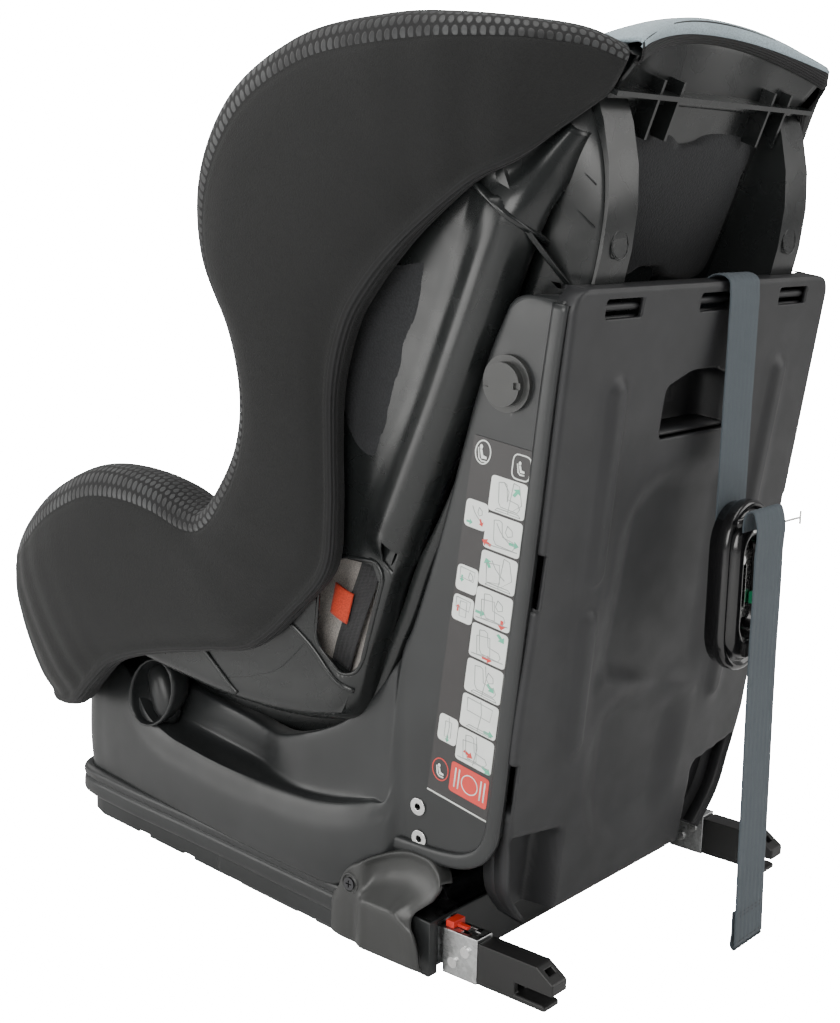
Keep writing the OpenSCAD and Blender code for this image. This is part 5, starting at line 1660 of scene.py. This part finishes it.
angles = np.radians(np.linspace(7, -27, 30))
under_seat = np.stack([np.zeros(30), 20 + 482.8 * np.sin(angles), 600 - 482.8 * np.cos(angles)], axis=1)
behind = np.array([on_back(0, -7.3, u) for u in (226, 150, 60, 0, -16)])
pull_path = curve(np.concatenate([behind, [(0, 99, 122)], under_seat[1:]]), 200)
pull = strap("harness_pull_strap", pull_path, 37.5, thick=1.4, ribs=7)
finish_piece(pull, "seat", "harness_webbing", replaces=("adjuster_strap",))


# ---- Camera, floor and light ----

def aim(thing, place, target):
    thing.location = Vector(place)
    thing.rotation_mode = "QUATERNION"
    thing.rotation_quaternion = (Vector(target) - Vector(place)).to_track_quat("-Z", "Y")


def make_camera():
    """A long lens behind the seat's left, a little above the headrest and rolled by a degree."""
    yaw, pitch, roll = (math.radians(a) for a in (-140.12, -11.59, 1.42))
    forward = Vector((math.cos(pitch) * math.cos(yaw), math.cos(pitch) * math.sin(yaw), math.sin(pitch)))
    right = forward.cross(Vector((0, 0, 1))).normalized()
    up = right.cross(forward)
    right, up = right * math.cos(roll) + up * math.sin(roll), up * math.cos(roll) - right * math.sin(roll)
    data = bpy.data.cameras.new("camera")
    data.lens, data.sensor_width = 56.25, 36
    data.clip_start, data.clip_end = 0.05, 50
    camera = bpy.data.objects.new("camera", data)
    turn = Matrix((right, up, -forward)).transposed().to_4x4()
    camera.matrix_world = Matrix.Translation((0.8954, 0.7863, 0.5021)) @ turn
    bpy.context.scene.collection.objects.link(camera)
    bpy.context.scene.camera = camera


FLOOR_GLOW, ROOM_LIGHT, BACKDROP = 30.0, 0.30, 32.0


def make_stage():
    size, z = 6000, -1.0
    floor = mesh_object("floor", [(-size, -size, z), (size, -size, z), (size, size, z), (-size, size, z)],
                        [(0, 1, 2, 3)], smooth=False)
    paint = Shader("floor_paint", (0.93, 0.93, 0.93), 0.9)
    paint.set("Base Color", paint.mix(paint.noise(3, 2), (0.90, 0.90, 0.90), (0.93, 0.93, 0.93)))
    paint.surface.inputs["Specular IOR Level"].default_value = 0.0
    paint.surface.inputs["Emission Color"].default_value = (1, 1, 1, 1)
    seen = paint.node("ShaderNodeLightPath").outputs["Is Camera Ray"]
    paint.set("Emission Strength", paint.math("MULTIPLY", seen, FLOOR_GLOW))
    floor.data.materials.append(paint.material)
    world = bpy.data.worlds.new("room")
    world.use_nodes = True
    background = world.node_tree.nodes["Background"]
    background.inputs[0].default_value = (1, 1, 1, 1)
    seen = world.node_tree.nodes.new("ShaderNodeLightPath").outputs["Is Camera Ray"]
    strength = world.node_tree.nodes.new("ShaderNodeMapRange")
    strength.inputs["To Min"].default_value = ROOM_LIGHT
    strength.inputs["To Max"].default_value = BACKDROP
    world.node_tree.links.new(seen, strength.inputs["Value"])
    world.node_tree.links.new(strength.outputs[0], background.inputs[1])
    bpy.context.scene.world = world
    middle = (0, 0, 0.3)
    for name, place, size, power in (("key", (2.0, 0.7, 1.1), 1.3, 34), ("side", (1.9, -1.5, 0.2), 1.7, 40),
                                     ("behind", (-1.4, 1.9, 1.2), 1.6, 24), ("front", (0.2, -2.2, 1.6), 1.6, 14),
                                     ("overhead", (0.2, 0.1, 2.4), 1.6, 30)):
        data = bpy.data.lights.new(name, "AREA")
        data.energy, data.size, data.color = power, size, (1.0, 0.99, 0.97)
        light = bpy.data.objects.new(name, data)
        bpy.context.scene.collection.objects.link(light)
        aim(light, place, middle)


make_camera()
make_stage()
